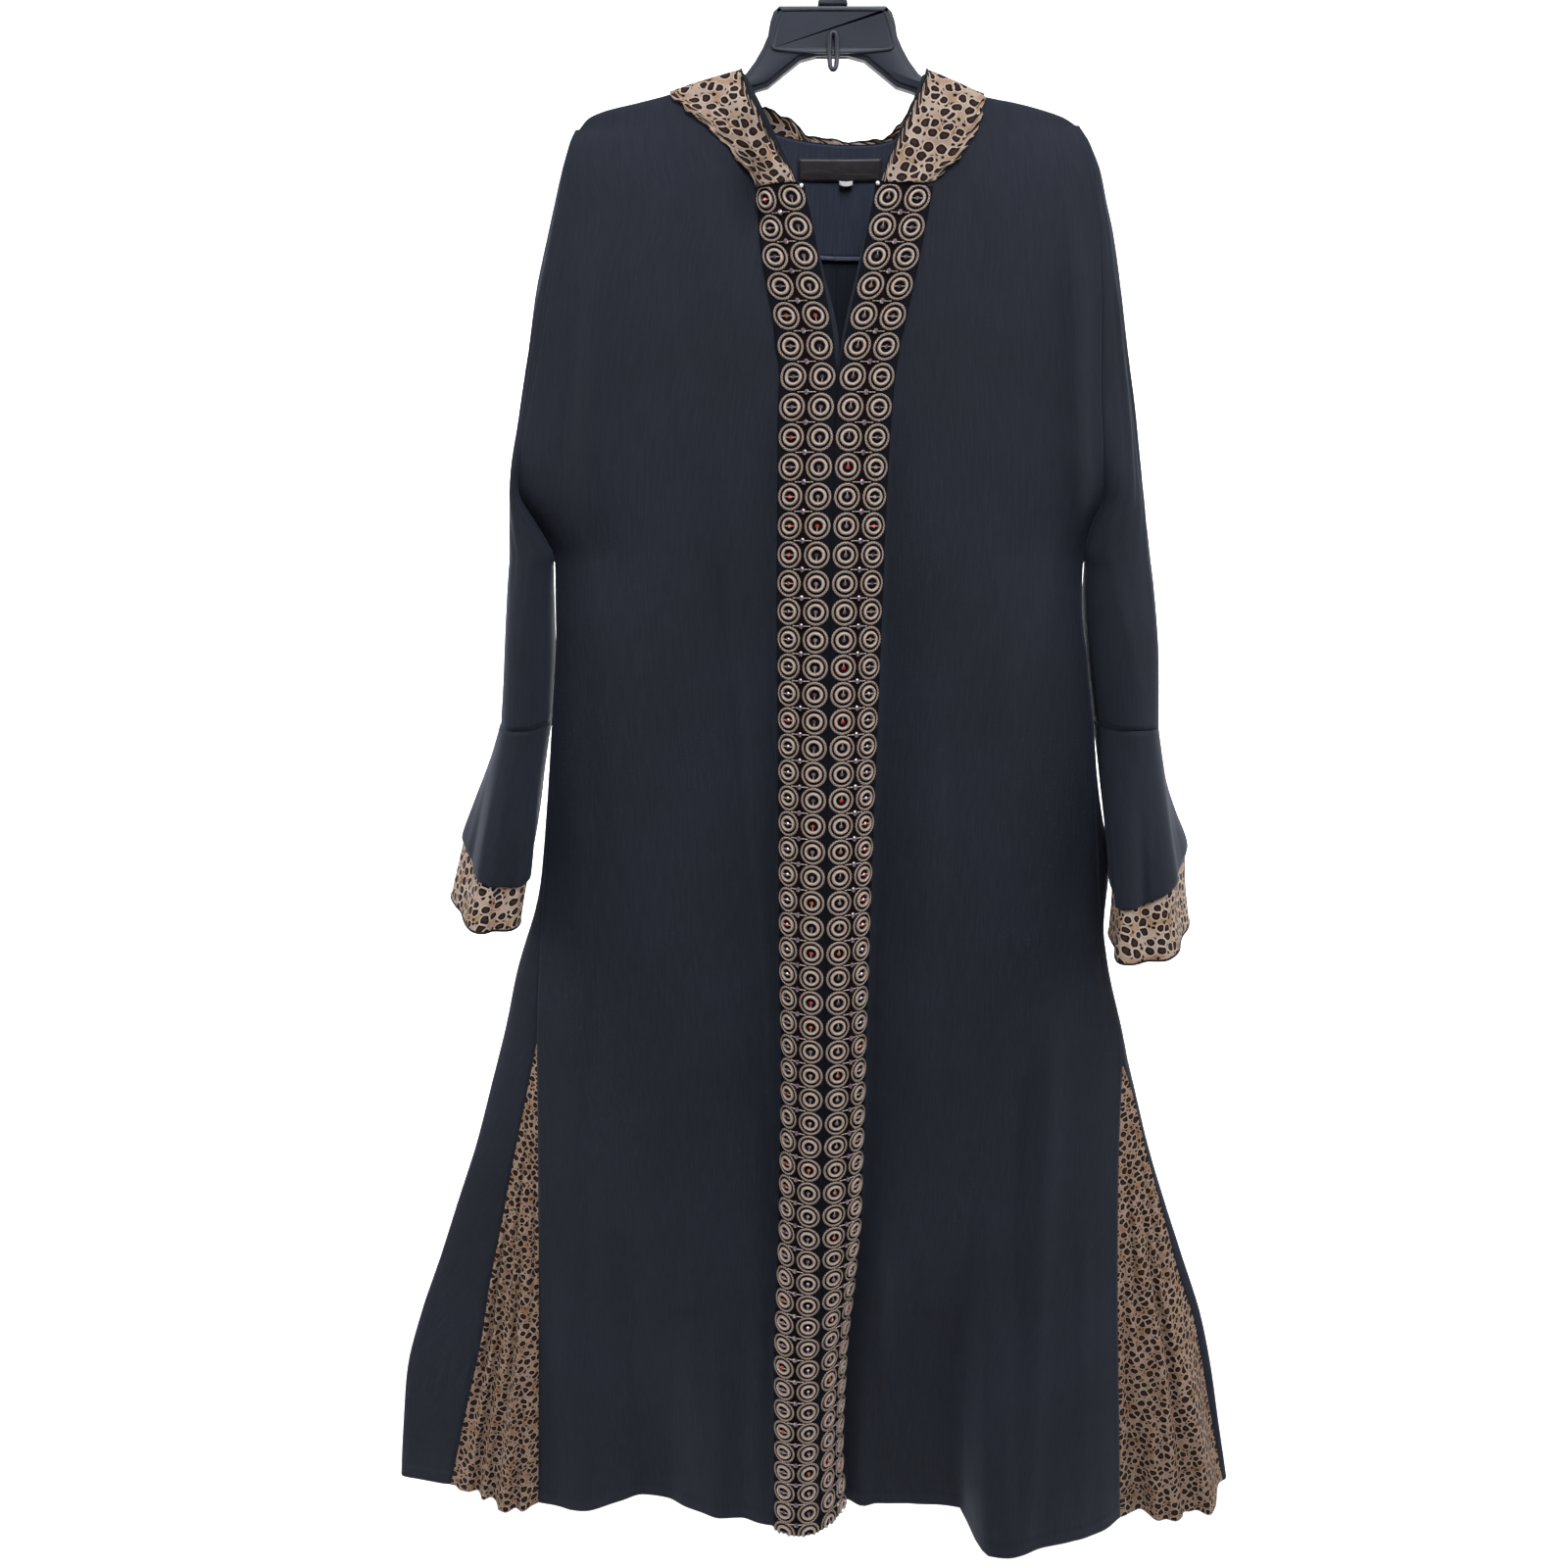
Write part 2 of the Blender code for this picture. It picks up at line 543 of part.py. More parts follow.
def back_point(side, share, z):
    """Point of a back panel, share of the way from the centre back round to the side."""
    fold = Vector((BACK_FOLD[side].read("x", z), BACK_FOLD[side].read("y", z)))
    seam = Vector(back_seam(side, z))
    deep = BODY_DEPTH.read("back", z)
    middle = Vector((CENTRE_BACK_X, deep))
    out = fold.x - CENTRE_BACK_X
    flat = [middle + Vector((along * out, -hollow * deep)) for along, hollow in BACK_FLAT]
    turn = Vector((CENTRE_BACK_X + BACK_TURN * out, blend(fold.y, deep, BACK_TURN_DEPTH)))
    place = curve_through([middle] + flat + [turn, fold, seam], share)
    across = (place.x - CENTRE_BACK_X) / out
    wave = math.cos(2 * math.pi * BACK_WAVES["count"] * across + BACK_WAVES["phase"] * side)
    flat_part = smooth((1.0 - share) * 4.0)
    y = blend(place.y * shoulder_share(place.x, z), seam.y, share ** 6)
    return place.x, y + BACK_WAVES["depth"] * wave * hem_share(z) * flat_part


def column_top(point_at, top_z):
    """Height at which a column of a panel meets the panel's upper edge."""
    z = CREST_GUESS_Z
    for _ in range(60):
        z = blend(z, top_z.read("z", point_at(z)[0]), 0.5)
    return z


def lower_rows(side):
    """Heights of a body panel's rows below the underarm."""
    return ROWS_TO_GODET + (GODET_TOP_Z[side],) + ROWS_BY_GODET


def panel_grid(side, point_at, columns, top_z):
    """Rows of points of a body panel from its neck and shoulder to its hem."""
    grid = []
    for column in columns:
        def here(z, column=column):
            return point_at(column, z)
        top = column_top(here, top_z)
        heights = [blend(top, UNDERARM_Z, share) for share in ARMHOLE_ROWS]
        heights.extend(lower_rows(side))
        grid.append([Vector((*here(z), z)) for z in heights])
    return [list(row) for row in zip(*grid)]


def draw_back(grid, row, column, inner_row, inner_column, length):
    """Move one point of a grid's edge in along the surface."""
    point = grid[row][column]
    grid[row][column] = point + (grid[inner_row][inner_column] - point).normalized() * length


def trim_row(grid, row, length):
    """Shorten a grid at its first or last row."""
    inner = 1 if row == 0 else -2
    for column in range(len(grid[0])):
        draw_back(grid, row, column, inner, column, length)


def trim_column(grid, column, length, rows=None):
    """Shorten a grid at its first or last column."""
    inner = 1 if column == 0 else -2
    for row in rows or range(len(grid)):
        draw_back(grid, row, column, row, inner, length)


def fit_seam(first, first_column, second, second_column, pairs, wall):
    """Part two grids where they meet, by more where the seam is bent."""
    first_inner = 1 if first_column == 0 else -2
    second_inner = 1 if second_column == 0 else -2
    lengths = []
    for first_row, second_row in pairs:
        into = first[first_row][first_column] - first[first_row][first_inner]
        out = second[second_row][second_inner] - second[second_row][second_column]
        bend = into.angle(out)
        lengths.append(SEAM_GAP / 2 + wall / 2 * math.tan(min(bend, MOST_BEND) / 2))
    for (first_row, second_row), length in zip(pairs, lengths):
        draw_back(first, first_row, first_column, first_row, first_inner, length)
        draw_back(second, second_row, second_column, second_row, second_inner, length)


# Objects

def new_material(name):
    colour, roughness, metallic = MATERIALS[name]
    material = bpy.data.materials.new(name)
    material.use_nodes = True
    shader = material.node_tree.nodes["Principled BSDF"]
    shader.inputs["Base Color"].default_value = (*colour, 1.0)
    shader.inputs["Roughness"].default_value = roughness
    shader.inputs["Metallic"].default_value = metallic
    return material


def add_object(name, data, material):
    piece = bpy.data.objects.new(name, data)
    data.materials.append(new_material(material))
    bpy.data.collections["abaya"].objects.link(piece)
    return piece


def cloth(name, grid, wall, material, closed_rows=None, outward=None):
    """Wall of cloth on a grid of points; rows from closed_rows on join end to end."""
    rows, columns = len(grid), len(grid[0])
    points = [point * MM for row in grid for point in row]
    faces = []
    for r in range(rows - 1):
        joined = closed_rows is not None and r >= closed_rows
        for c in range(columns if joined else columns - 1):
            after = (c + 1) % columns
            faces.append((r * columns + c, r * columns + after,
                          (r + 1) * columns + after, (r + 1) * columns + c))
    mesh = bpy.data.meshes.new(name)
    mesh.from_pydata(points, [], faces)
    if outward is not None:
        middle = mesh.polygons[len(faces) // 2]
        if middle.normal.dot(Vector(outward)) < 0:
            mesh.flip_normals()
    mesh.shade_smooth()
    piece = add_object(name, mesh, material)
    solid = piece.modifiers.new("wall", "SOLIDIFY")
    solid.thickness = wall * MM
    solid.offset = 0.0
    return piece


def flat_plate(name, outline, thick, centre_y, edge, material, rounds=1):
    """Plate cut to an outline of X and Z points, its edges rounded."""
    curve = bpy.data.curves.new(name, "CURVE")
    curve.dimensions = "2D"
    curve.fill_mode = "BOTH"
    curve.extrude = (thick / 2 - edge) * MM
    curve.bevel_depth = edge * MM
    curve.bevel_resolution = rounds
    curve.offset = -edge * MM
    spline = curve.splines.new("POLY")
    spline.points.add(len(outline) - 1)
    for point, (x, z) in zip(spline.points, outline):
        point.co = (x * MM, z * MM, 0.0, 1.0)
    spline.use_cyclic_u = True
    piece = add_object(name, curve, material)
    piece.rotation_euler = (math.pi / 2, 0.0, 0.0)
    piece.location = (0.0, centre_y * MM, 0.0)
    weld = piece.modifiers.new("weld", "WELD")
    weld.merge_threshold = 0.00005
    return piece


def rod(name, points, diameter, material, resolution=3):
    """Round rod along points, with filled ends."""
    curve = bpy.data.curves.new(name, "CURVE")
    curve.dimensions = "3D"
    curve.bevel_depth = diameter / 2 * MM
    curve.bevel_resolution = resolution
    curve.use_fill_caps = True
    spline = curve.splines.new("POLY")
    spline.points.add(len(points) - 1)
    for point, place in zip(spline.points, points):
        point.co = (*(Vector(place) * MM), 1.0)
    piece = add_object(name, curve, material)
    weld = piece.modifiers.new("weld", "WELD")
    weld.merge_threshold = 0.0001
    return piece


# Pieces of the body

def front_grid(side):
    columns = RIDGE_COLUMNS[side] + tuple(1.0 + share for share in FRONT_COLUMNS[side])

    def point_at(column, z):
        return front_column(side, column, z)
    return panel_grid(side, point_at, columns, FRONT_TOP[side])


def back_grid(side):
    def point_at(share, z):
        return back_point(side, share, z)
    return panel_grid(side, point_at, BACK_COLUMNS, BACK_TOP[side])


def godet_grid(side):
    heights = (GODET_TOP_Z[side] - GODET_START,) + ROWS_BY_GODET
    grid = []
    for z in heights:
        front = Vector(front_edge(side, z))
        back = Vector(back_seam(side, z))
        row = []
        for share in GODET_COLUMNS:
            place = front.lerp(back, share)
            weight = hem_share(z) * smooth((1.0 - share) * 6.0)
            y = blend(place.y, GODET_HEM[side].read("y", share), weight)
            row.append(Vector((place.x, y, z)))
        grid.append(row)
    return grid


def make_side(side):
    """The front, back, godet and sleeve of one side, parted at their seams."""
    front, back = front_grid(side), back_grid(side)
    godet, sleeve = godet_grid(side), sleeve_grid(side)
    underarm = len(ARMHOLE_ROWS)
    godet_top = underarm + len(ROWS_TO_GODET)
    armhole = [(row, row) for row in range(underarm)]
    side_seam = [(row, row) for row in range(underarm, godet_top + 1)]
    beside = [(godet_top + row, row) for row in range(1, len(godet))]
    fit_seam(front, -1, sleeve, 0, armhole, CREPE)
    fit_seam(back, -1, sleeve, -1, armhole, CREPE)
    fit_seam(front, -1, back, -1, side_seam, CREPE)
    fit_seam(front, -1, godet, 0, beside, CREPE)
    fit_seam(back, -1, godet, -1, beside, CREPE)
    for column in (0, -1):
        trim_column(godet, column, GODET_CORNER, rows=(0,))
    for panel in (front, back):
        trim_row(panel, 0, SHOULDER_GAP / 2)
        trim_column(panel, 0, SEAM_GAP / 2)
    name = SIDE_NAME[side]
    cloth("front_" + name, front, CREPE, "crepe", outward=(0, -1, 0))
    cloth("back_" + name, back, CREPE, "crepe", outward=(0, 1, 0))
    cloth("godet_" + name, godet, CHIFFON, "chiffon", outward=(side, -1, 0))
    cloth("sleeve_" + name, sleeve, CREPE, "crepe", closed_rows=underarm - 1, outward=(side, 0, 0))


def trim_column_points(side, share, lift):
    """One column of a trim, at its front panel's own heights, moved out from the panel."""
    def here(z):
        return front_column(side, share, z)
    top = column_top(here, FRONT_TOP[side])
    heights = [blend(top, UNDERARM_Z, row) for row in ARMHOLE_ROWS if row > TRIM_ROWS_FROM]
    heights = [TRIM_TOP_Z, blend(TRIM_TOP_Z, heights[0], 0.45)] + heights + list(lower_rows(side))
    return [Vector((*here(z), z)) + ridge_normal(side, share, z) * lift for z in heights]


def make_trims():
    lift = (CREPE + TRIM_WALL) / 2 + TRIM_GAP
    edge = STRIP_WIDTH / RIDGE_SPAN
    for side in (LEFT, RIGHT):
        shares = [share for share in RIDGE_COLUMNS[side] if share < edge] + [edge]
        columns = [trim_column_points(side, share, lift) for share in shares]
        grid = [list(row) for row in zip(*columns)]
        trim_column(grid, 0, SEAM_GAP / 2)
        cloth("trim_" + SIDE_NAME[side], grid, TRIM_WALL, "ring_trim", outward=(0, -1, 0))


# Sleeves and cuffs

def sleeve_row(side, z, turn, front_x, back_x):
    """One level of a sleeve, from its front edge round the outside to its back edge."""
    outer = SLEEVE[side].read("outer_x", z)
    depth = SLEEVE[side].read("depth", z)
    row = []
    for face, edge_x in ((-1, front_x), (1, back_x)):
        wide = (outer - edge_x) / (1.0 - math.cos(turn))
        centre = outer - wide
        half = []
        for step in range(SLEEVE_POINTS + 1):
            angle = turn * (1.0 - step / SLEEVE_POINTS)
            half.append(Vector((centre + wide * math.cos(angle), face * depth * math.sin(angle), z)))
        row.append(half)
    return row[0] + row[1][-2::-1]


def sleeve_grid(side):
    grid = []
    for share in ARMHOLE_ROWS:
        z = blend(shoulder_tip(side), UNDERARM_Z, share)
        under = smooth((share - UNDERARM_STEP_FROM) / (1.0 - UNDERARM_STEP_FROM))
        beside = side * UNDERARM_STEP * under
        front_x = FRONT_EDGE[side].read("x", z) + beside
        back_x = BACK_ARMHOLE[side].read("x", z) + beside
        grid.append(sleeve_row(side, z, armhole_turn(share), front_x, back_x))
    for z in [z for z in ROWS_TO_GODET if z > CUFF_SEAM_Z] + [CUFF_SEAM_Z]:
        turned = smooth((UNDERARM_Z - z) / SLEEVE_TURN_LENGTH)
        turn = blend(UNDERARM_TURN, SLEEVE_TURN, turned)
        inner = SLEEVE[side].read("inner_x", z)
        grid.append(sleeve_row(side, z, turn, inner, inner))
    return grid


def cuff_ring(side, cuff, share, inset):
    """One ring of a cuff, with its waves growing to the hem, moved in by an inset."""
    size = {name: cuff["bell"].read(name, share) for name in cuff["bell"].names}
    fullness = CUFF_WAVE * smooth(share)
    ring = []
    for step in range(CUFF_POINTS):
        angle = 2 * math.pi * step / CUFF_POINTS
        outward, forward = math.cos(angle), math.sin(angle)
        wave = 1.0 + fullness * math.cos(cuff["waves"] * angle + cuff["phase"])
        x = size["x"] + wave * (side * size["wide"] * outward + size["skew"] * forward)
        y = size["y"] - wave * size["deep"] * forward
        z = size["z"] + size["slope_out"] * outward + size["slope_front"] * forward
        ring.append(Vector((x, y, z)))
    centre = sum(ring, Vector()) / len(ring)
    moved = []
    for i, point in enumerate(ring):
        along = ring[(i + 1) % len(ring)] - ring[i - 1]
        inward = Vector((along.y, -along.x, 0.0)).normalized()
        if inward.dot(centre - point) < 0:
            inward.negate()
        moved.append(point + inward * inset)
    return moved


def make_cuffs():
    for side, cuff in CUFFS.items():
        bell = [cuff_ring(side, cuff, share, 0.0) for share in BELL_RINGS]
        cloth("cuff_bell_" + SIDE_NAME[side], bell, CREPE, "crepe", closed_rows=0)
        under = [
            cuff_ring(side, cuff, share, UNDER_INSET * (1.0 - smooth(share - 1.0)))
            for share in UNDER_RINGS
        ]
        cloth("cuff_under_" + SIDE_NAME[side], under, CHIFFON, "chiffon", closed_rows=0)


# Collar, facing and label

def crest_normal(face, x, z):
    """Direction out of the cloth near a shoulder's crest."""
    drop = max(0.0, SHOULDER_CREST.read("z", x) - z)
    over = math.acos(1.0 - min(drop, SHOULDER_ROLL) / SHOULDER_ROLL)
    slope = math.copysign(CREST_SLOPE, x)
    rise = math.sqrt(1.0 - CREST_SLOPE ** 2)
    return Vector((slope * math.cos(over), face * math.sin(over), rise * math.cos(over)))


def collar_grid(edges, surface_y, face):
    grid = []
    for inner_x, inner_z, outer_x, outer_z in edges:
        row = []
        for share in COLLAR_COLUMNS:
            x = blend(inner_x, outer_x, share)
            z = min(blend(inner_z, outer_z, share), SHOULDER_CREST.read("z", x))
            place = Vector((x, surface_y(x, z), z))
            row.append(place + crest_normal(face, x, z) * COLLAR_LIFT)
        grid.append(row)
    return grid


def back_y(x, z):
    """Depth of the backs at a place seen from behind."""
    side = LEFT if x < CENTRE_BACK_X else RIGHT
    low, high = 0.0, 0.75
    for _ in range(40):
        middle = (low + high) / 2
        inside = (back_point(side, middle, z)[0] - x) * side < 0
        low, high = (middle, high) if inside else (low, middle)
    return back_point(side, (low + high) / 2, z)[1]


def make_collar():
    for side in (LEFT, RIGHT):
        def surface_y(x, z, side=side):
            return front_y(side, x, z)
        grid = collar_grid(COLLAR_FRONT[side], surface_y, -1)
        trim_row(grid, 0, SHOULDER_GAP / 2)
        cloth("collar_" + SIDE_NAME[side], grid, CHIFFON, "chiffon", outward=(0, -1, 0))
    grid = collar_grid(COLLAR_BACK, back_y, 1)
    trim_row(grid, 0, SHOULDER_GAP / 2)
    trim_row(grid, -1, SHOULDER_GAP / 2)
    cloth("collar_back", grid, CHIFFON, "chiffon", outward=(0, 1, 0))


def make_neck_inside():
    inward = Vector((0, -((CREPE + CHIFFON) / 2 + LAYER_GAP), 0))
    left, right = back_grid(LEFT), back_grid(RIGHT)
    grid = []
    for r in range(1, FACING_ROWS):
        row = list(reversed(left[r][1:FACING_COLUMNS])) + right[r][:FACING_COLUMNS]
        grid.append([point + inward for point in row])
    trim_row(grid, 0, FACING_SHORTER)
    cloth("back_neck_facing", grid, CHIFFON, "crepe", outward=(0, -1, 0))
    front = (CREPE + LABEL_WALL) / 2 + CHIFFON + 2 * LAYER_GAP + LABEL_GAP
    for name, place, material in (
        ("neck_label", LABEL, "label_satin"),
        ("size_tab", SIZE_TAB, "tab_white"),
    ):
        steps = [blend(place["left"], place["right"], share) for share in LABEL_COLUMNS]
        grid = [
            [Vector((x, back_y(x, z) - front, z)) for x in steps]
            for z in (place["top"], place["bottom"])
        ]
        cloth(name, grid, LABEL_WALL, material, outward=(0, -1, 0))


# Hanger

def arc(centre_x, centre_z, radius, start, end, steps):
    """Points of an arc in the XZ plane, angles in degrees from +X towards +Z."""
    points = []
    for step in range(steps + 1):
        angle = math.radians(blend(start, end, step / steps))
        points.append((centre_x + radius * math.cos(angle), centre_z + radius * math.sin(angle)))
    return points


def arm_place(side, share, drop=0.0):
    """Point on an arm's top, under the crest of the cloth, or lower by a drop."""
    x = blend(HANGER_TIP[side], side * HANGER_NECK, share)
    below = ARM_DROP + CREPE / 2 + TIP_DROP * (1.0 - smooth(share * 4.0))
    return x, SHOULDER_CREST.read("z", x) - below - drop


def hanger_outline():
    """Outline of the hanger's body: over the shoulders, and under the arch."""
    over, under = {}, {}
    for side in (LEFT, RIGHT):
        crown = [(side * x, z) for x, z in reversed(HANGER_CROWN)]
        over[side] = [arm_place(side, share) for share in ARM_OVER] + crown
        arch = [(side * x, z) for x, z in HANGER_ARCH]
        lower = [arm_place(side, share, ARM_HEIGHT) for share in reversed(ARM_UNDER)]
        under[side] = arch + lower + [arm_place(side, 0.0, ARM_HEIGHT * TIP_ROUND)]
    return over[LEFT] + over[RIGHT][::-1] + under[RIGHT][::-1] + under[LEFT]


def both_halves(half):
    """An outline from its right half, mirrored to the left."""
    return [(-x, z) for x, z in half] + list(reversed(half))


def make_hanger():
    plastic = "hanger_plastic"
    flat_plate("hanger_body", hanger_outline(), HANGER_THICK, 0.0, HANGER_EDGE, plastic)
    cap_y = -(HANGER_THICK + CAP_THICK) / 2 - LAYER_GAP
    flat_plate("hanger_cap", both_halves(CAP_HALF), CAP_THICK, cap_y, CAP_EDGE, plastic)
    hook_y = cap_y - (CAP_THICK + SMALL_HOOK_WIRE) / 2 - LAYER_GAP
    small_hook = [(SMALL_HOOK_X, hook_y - out, z) for out, z in SMALL_HOOK]
    rod("hanger_small_hook", small_hook, SMALL_HOOK_WIRE, plastic, resolution=1)
    flat_plate("hanger_boss", both_halves(BOSS_HALF), HANGER_THICK, 0.0, BOSS_EDGE, plastic)
    over = arc(0.0, -HOOK_INSIDE, HOOK_INSIDE + HOOK_WIRE / 2, **HOOK_ARC)
    points = [(x, 0.0, z) for x, z in list(HOOK_STEM) + over]
    rod("hanger_hook", points, HOOK_WIRE, "hook_steel", resolution=2)


def clear_scene():
    for piece in list(bpy.data.objects):
        bpy.data.objects.remove(piece, do_unlink=True)
    collection = bpy.data.collections.new("abaya")
    bpy.context.scene.collection.children.link(collection)


def main():
    clear_scene()
    for side in (LEFT, RIGHT):
        make_side(side)
    make_trims()
    make_cuffs()
    make_collar()
    make_neck_inside()
    make_hanger()


main()
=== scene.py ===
"""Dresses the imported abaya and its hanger: cloth, ring trim, collar, hanger finishes and stage.

The frame is in metres with +Z up, its origin at the inside top of the hanger's hook, +X to
the viewer's right and +Y away from the viewer. Tables and sizes in this file are in
millimetres and are turned to metres once, when a mesh is made.
"""
import math

import bmesh
import bpy
import numpy as np
from bpy.props import FloatProperty, FloatVectorProperty, PointerProperty
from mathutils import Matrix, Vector


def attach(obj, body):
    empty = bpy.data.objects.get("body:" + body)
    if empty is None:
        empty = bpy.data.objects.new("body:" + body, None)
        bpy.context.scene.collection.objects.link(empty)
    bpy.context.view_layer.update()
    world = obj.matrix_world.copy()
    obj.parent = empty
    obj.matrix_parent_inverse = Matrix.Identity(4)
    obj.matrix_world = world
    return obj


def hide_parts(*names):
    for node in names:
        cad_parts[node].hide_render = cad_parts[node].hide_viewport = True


bl_info = {
    "name": "Abaya on a hanger",
    "version": (1, 0, 0),
    "blender": (4, 5, 0),
    "location": "3D View > Sidebar > Abaya",
    "description": "Dresses the packed abaya and hanger with cloth, trim and finishes",
    "category": "Object",
}

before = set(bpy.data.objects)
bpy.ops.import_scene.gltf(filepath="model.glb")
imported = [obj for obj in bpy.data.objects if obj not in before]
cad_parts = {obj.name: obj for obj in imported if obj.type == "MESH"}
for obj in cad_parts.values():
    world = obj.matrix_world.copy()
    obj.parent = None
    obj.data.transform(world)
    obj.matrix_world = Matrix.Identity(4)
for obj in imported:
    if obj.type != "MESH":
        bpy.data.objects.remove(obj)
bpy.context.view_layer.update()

MM = 0.001
LEFT, RIGHT = -1, 1
SIDE_NAME = {LEFT: "left", RIGHT: "right"}

# Heights that the pieces share, and the strip that each trim covers
HEM_Z = -1565.0
UNDERARM_Z = -548.0
TRIM_TOP_Z = -228.5
CUFF_SEAM_Z = -704.6
CENTRE_BACK_X = 6.0
RIDGE_SPAN = 55.0
STRIP_WIDTH = 50.8
RING_ROWS = 54
CORD_CROSSINGS = 12
GODET_SPOTS = 0.84

# The shoulder: radius of the roll over the hanger's arm, and how the cloth opens below it
SHOULDER_ROLL = 6.0
SHOULDER_DEPTH = 33.0
SHOULDER_SPREAD = 60.0

# How each layer stands off the one under it
TRIM_LIFT = 2.0
COLLAR_LIFT = 2.6
FACING_OFFSET = 1.9
LABEL_OFFSET = 3.4


def linear(code):
    """sRGB hex colour as linear red, green, blue and alpha."""
    shares = [int(code[i:i + 2], 16) / 255 for i in (1, 3, 5)]
    return tuple(c / 12.92 if c <= 0.04045 else ((c + 0.055) / 1.055) ** 2.4 for c in shares) + (1.0,)


def smooth(value):
    """Ease from 0 to 1, flat at both ends."""
    value = np.clip(value, 0.0, 1.0)
    return value * value * (3.0 - 2.0 * value)


def blend(first, second, share):
    """First at share 0, second at share 1."""
    return first + (second - first) * share


class Table:
    """Rows of named columns, read between rows by a curve that never overshoots them."""

    def __init__(self, names, *rows):
        self.names = names.split()
        self.rows = np.array(sorted(rows), float)
        steps = np.diff(self.rows, axis=0) / np.diff(self.rows[:, :1], axis=0)
        before, after = steps[:-1], steps[1:]
        same_way = before * after > 0.0
        inner = np.where(same_way, 2.0 * before * after / np.where(same_way, before + after, 1.0), 0.0)
        self.slopes = np.vstack([steps[:1], inner, steps[-1:]])

    def read(self, name, key):
        place = self.names.index(name)
        keys = self.rows[:, 0]
        key = np.clip(key, keys[0], keys[-1])
        i = np.clip(np.searchsorted(keys, key, side="right") - 1, 0, len(keys) - 2)
        width = keys[i + 1] - keys[i]
        t = (key - keys[i]) / width
        low, high = self.rows[i, place], self.rows[i + 1, place]
        return (
            (2 * t ** 3 - 3 * t ** 2 + 1) * low
            + (t ** 3 - 2 * t ** 2 + t) * width * self.slopes[i, place]
            + (3 * t ** 2 - 2 * t ** 3) * high
            + (t ** 3 - t ** 2) * width * self.slopes[i + 1, place]
        )


# The ridge under the trim: the centre front of each side, its depth, and how far the
# surface is turned, in degrees, at the left end, the middle and the right end
RIDGE = Table(
    "z left_x right_x y turn_left turn_middle turn_right",
    (-160, -23, 37, -34, -8, 0, 4),
    (-228, -23, 37, -33, -64, 0, 14),
    (-252, -18, 32.5, -34.2, -54, 0, 13),
    (-270, -14, 28.5, -35.3, -38, 0, 13),
    (-290, -10, 24, -37, -24, 0, 12),
    (-369, 6.8, 7.2, -41, -12, 0, 12),
    (-403, 4, 4, -44, -14, 0, 14),
    (-487, 1.5, 1.5, -50, -32, 0, 32),
    (-574, 0, 0, -53, -38, 0, 38),
    (-757, -1.5, -1.5, -57, -54, 0, 54),
    (-951, -3, -3, -61, -66, 0, 66),
    (-1054, -3, -3, -62, -72, 0, 72),
    (-1200, -5, -5, -61, -72, 0, 72),
    (-1269, -5, -5, -58, -70, 12, 76),
    (-1382, -6, -6, -52, -62, 34, 78),
    (-1500, -6, -6, -50, -58, 42, 78),
    (-1565, -5, -5, -54, -50, 36, 76),
)

# The crest of each shoulder, out along X, and carried on across the neck
SHOULDER_CREST = Table(
    "x z",
    (-222, -178), (-213, -168.5), (-198, -162.5), (-170, -156), (-141, -149), (-110, -139),
    (-79, -131.5), (-40, -121), (0, -113), (40, -121), (82, -131.5), (105, -140), (132, -150.5),
    (163, -156.5), (185, -162), (203, -168), (214, -174.5),
)

# The upper edges of the fronts and the backs
FRONT_TOP = {
    LEFT: Table("x z", (-222, -178), (-213, -168.5), (-198, -162.5), (-170, -156), (-141, -149),
                (-110, -139), (-79, -131.5), (-68, -150), (-55, -175), (-42, -201), (-32, -222),
                (-23, -228), (0, -228)),
    RIGHT: Table("x z", (214, -174.5), (203, -168), (185, -162), (163, -156.5), (132, -150.5),
                 (105, -140), (82, -131.5), (71, -154), (62, -179), (51, -204), (44, -221),
                 (37, -228), (0, -228)),
}
BACK_TOP = {
    LEFT: Table("x z", (-222, -178), (-213, -168.5), (-198, -162.5), (-170, -156), (-141, -149),
                (-110, -139), (-79, -131.5), (-70, -150), (-60, -166), (-50, -175), (-22, -181),
                (6, -184)),
    RIGHT: Table("x z", (214, -174.5), (203, -168), (185, -162), (163, -156.5), (132, -150.5),
                 (105, -140), (82, -131.5), (72, -155), (63, -172), (54, -181), (30, -184),
                 (6, -184)),
}

# The side edge of the fronts: armhole down to the underarm, then the side seam to the hem
FRONT_EDGE = {
    LEFT: Table("z x y", (-178, -222, 0), (-190, -227, 0), (-212, -231, 0), (-236, -234, 0),
                (-317, -249, 0), (-426, -273, 0), (-488, -284.5, 0), (-516, -272, 0), (-536, -262, 0),
                (-548, -257.4, -3), (-571, -255, -9), (-612, -254, -17), (-705, -261, -20),
                (-860, -276, -20), (-1023, -289, -20), (-1119, -292, -20), (-1285, -298, -18),
                (-1565, -310, -14)),
    RIGHT: Table("z x y", (-174.5, 214, 0), (-187, 221, 0), (-212, 227, 0), (-228, 230, 0),
                 (-309, 238, 0), (-401, 242, 0), (-460, 247, 0), (-495, 250, 0), (-516, 244, 0),
                 (-536, 240, 0), (-548, 239, -3), (-571, 236, -9), (-588, 235, -14),
                 (-650, 243, -19), (-724, 253, -20), (-860, 264, -20), (-945, 276, -20),
                 (-1049, 298, -20), (-1119, 299, -20), (-1285, 304, -24), (-1565, 319, -36)),
}
BACK_ARMHOLE = {
    LEFT: Table("z x", (-178, -222), (-190, -227), (-236, -233), (-317, -247), (-426, -262),
                (-491, -266), (-516, -265), (-536, -260), (-548, -257.4)),
    RIGHT: Table("z x", (-174.5, 214), (-187, 221), (-228, 228), (-309, 238), (-401, 246),
                 (-480, 250), (-516, 247), (-536, 241), (-548, 239)),
}

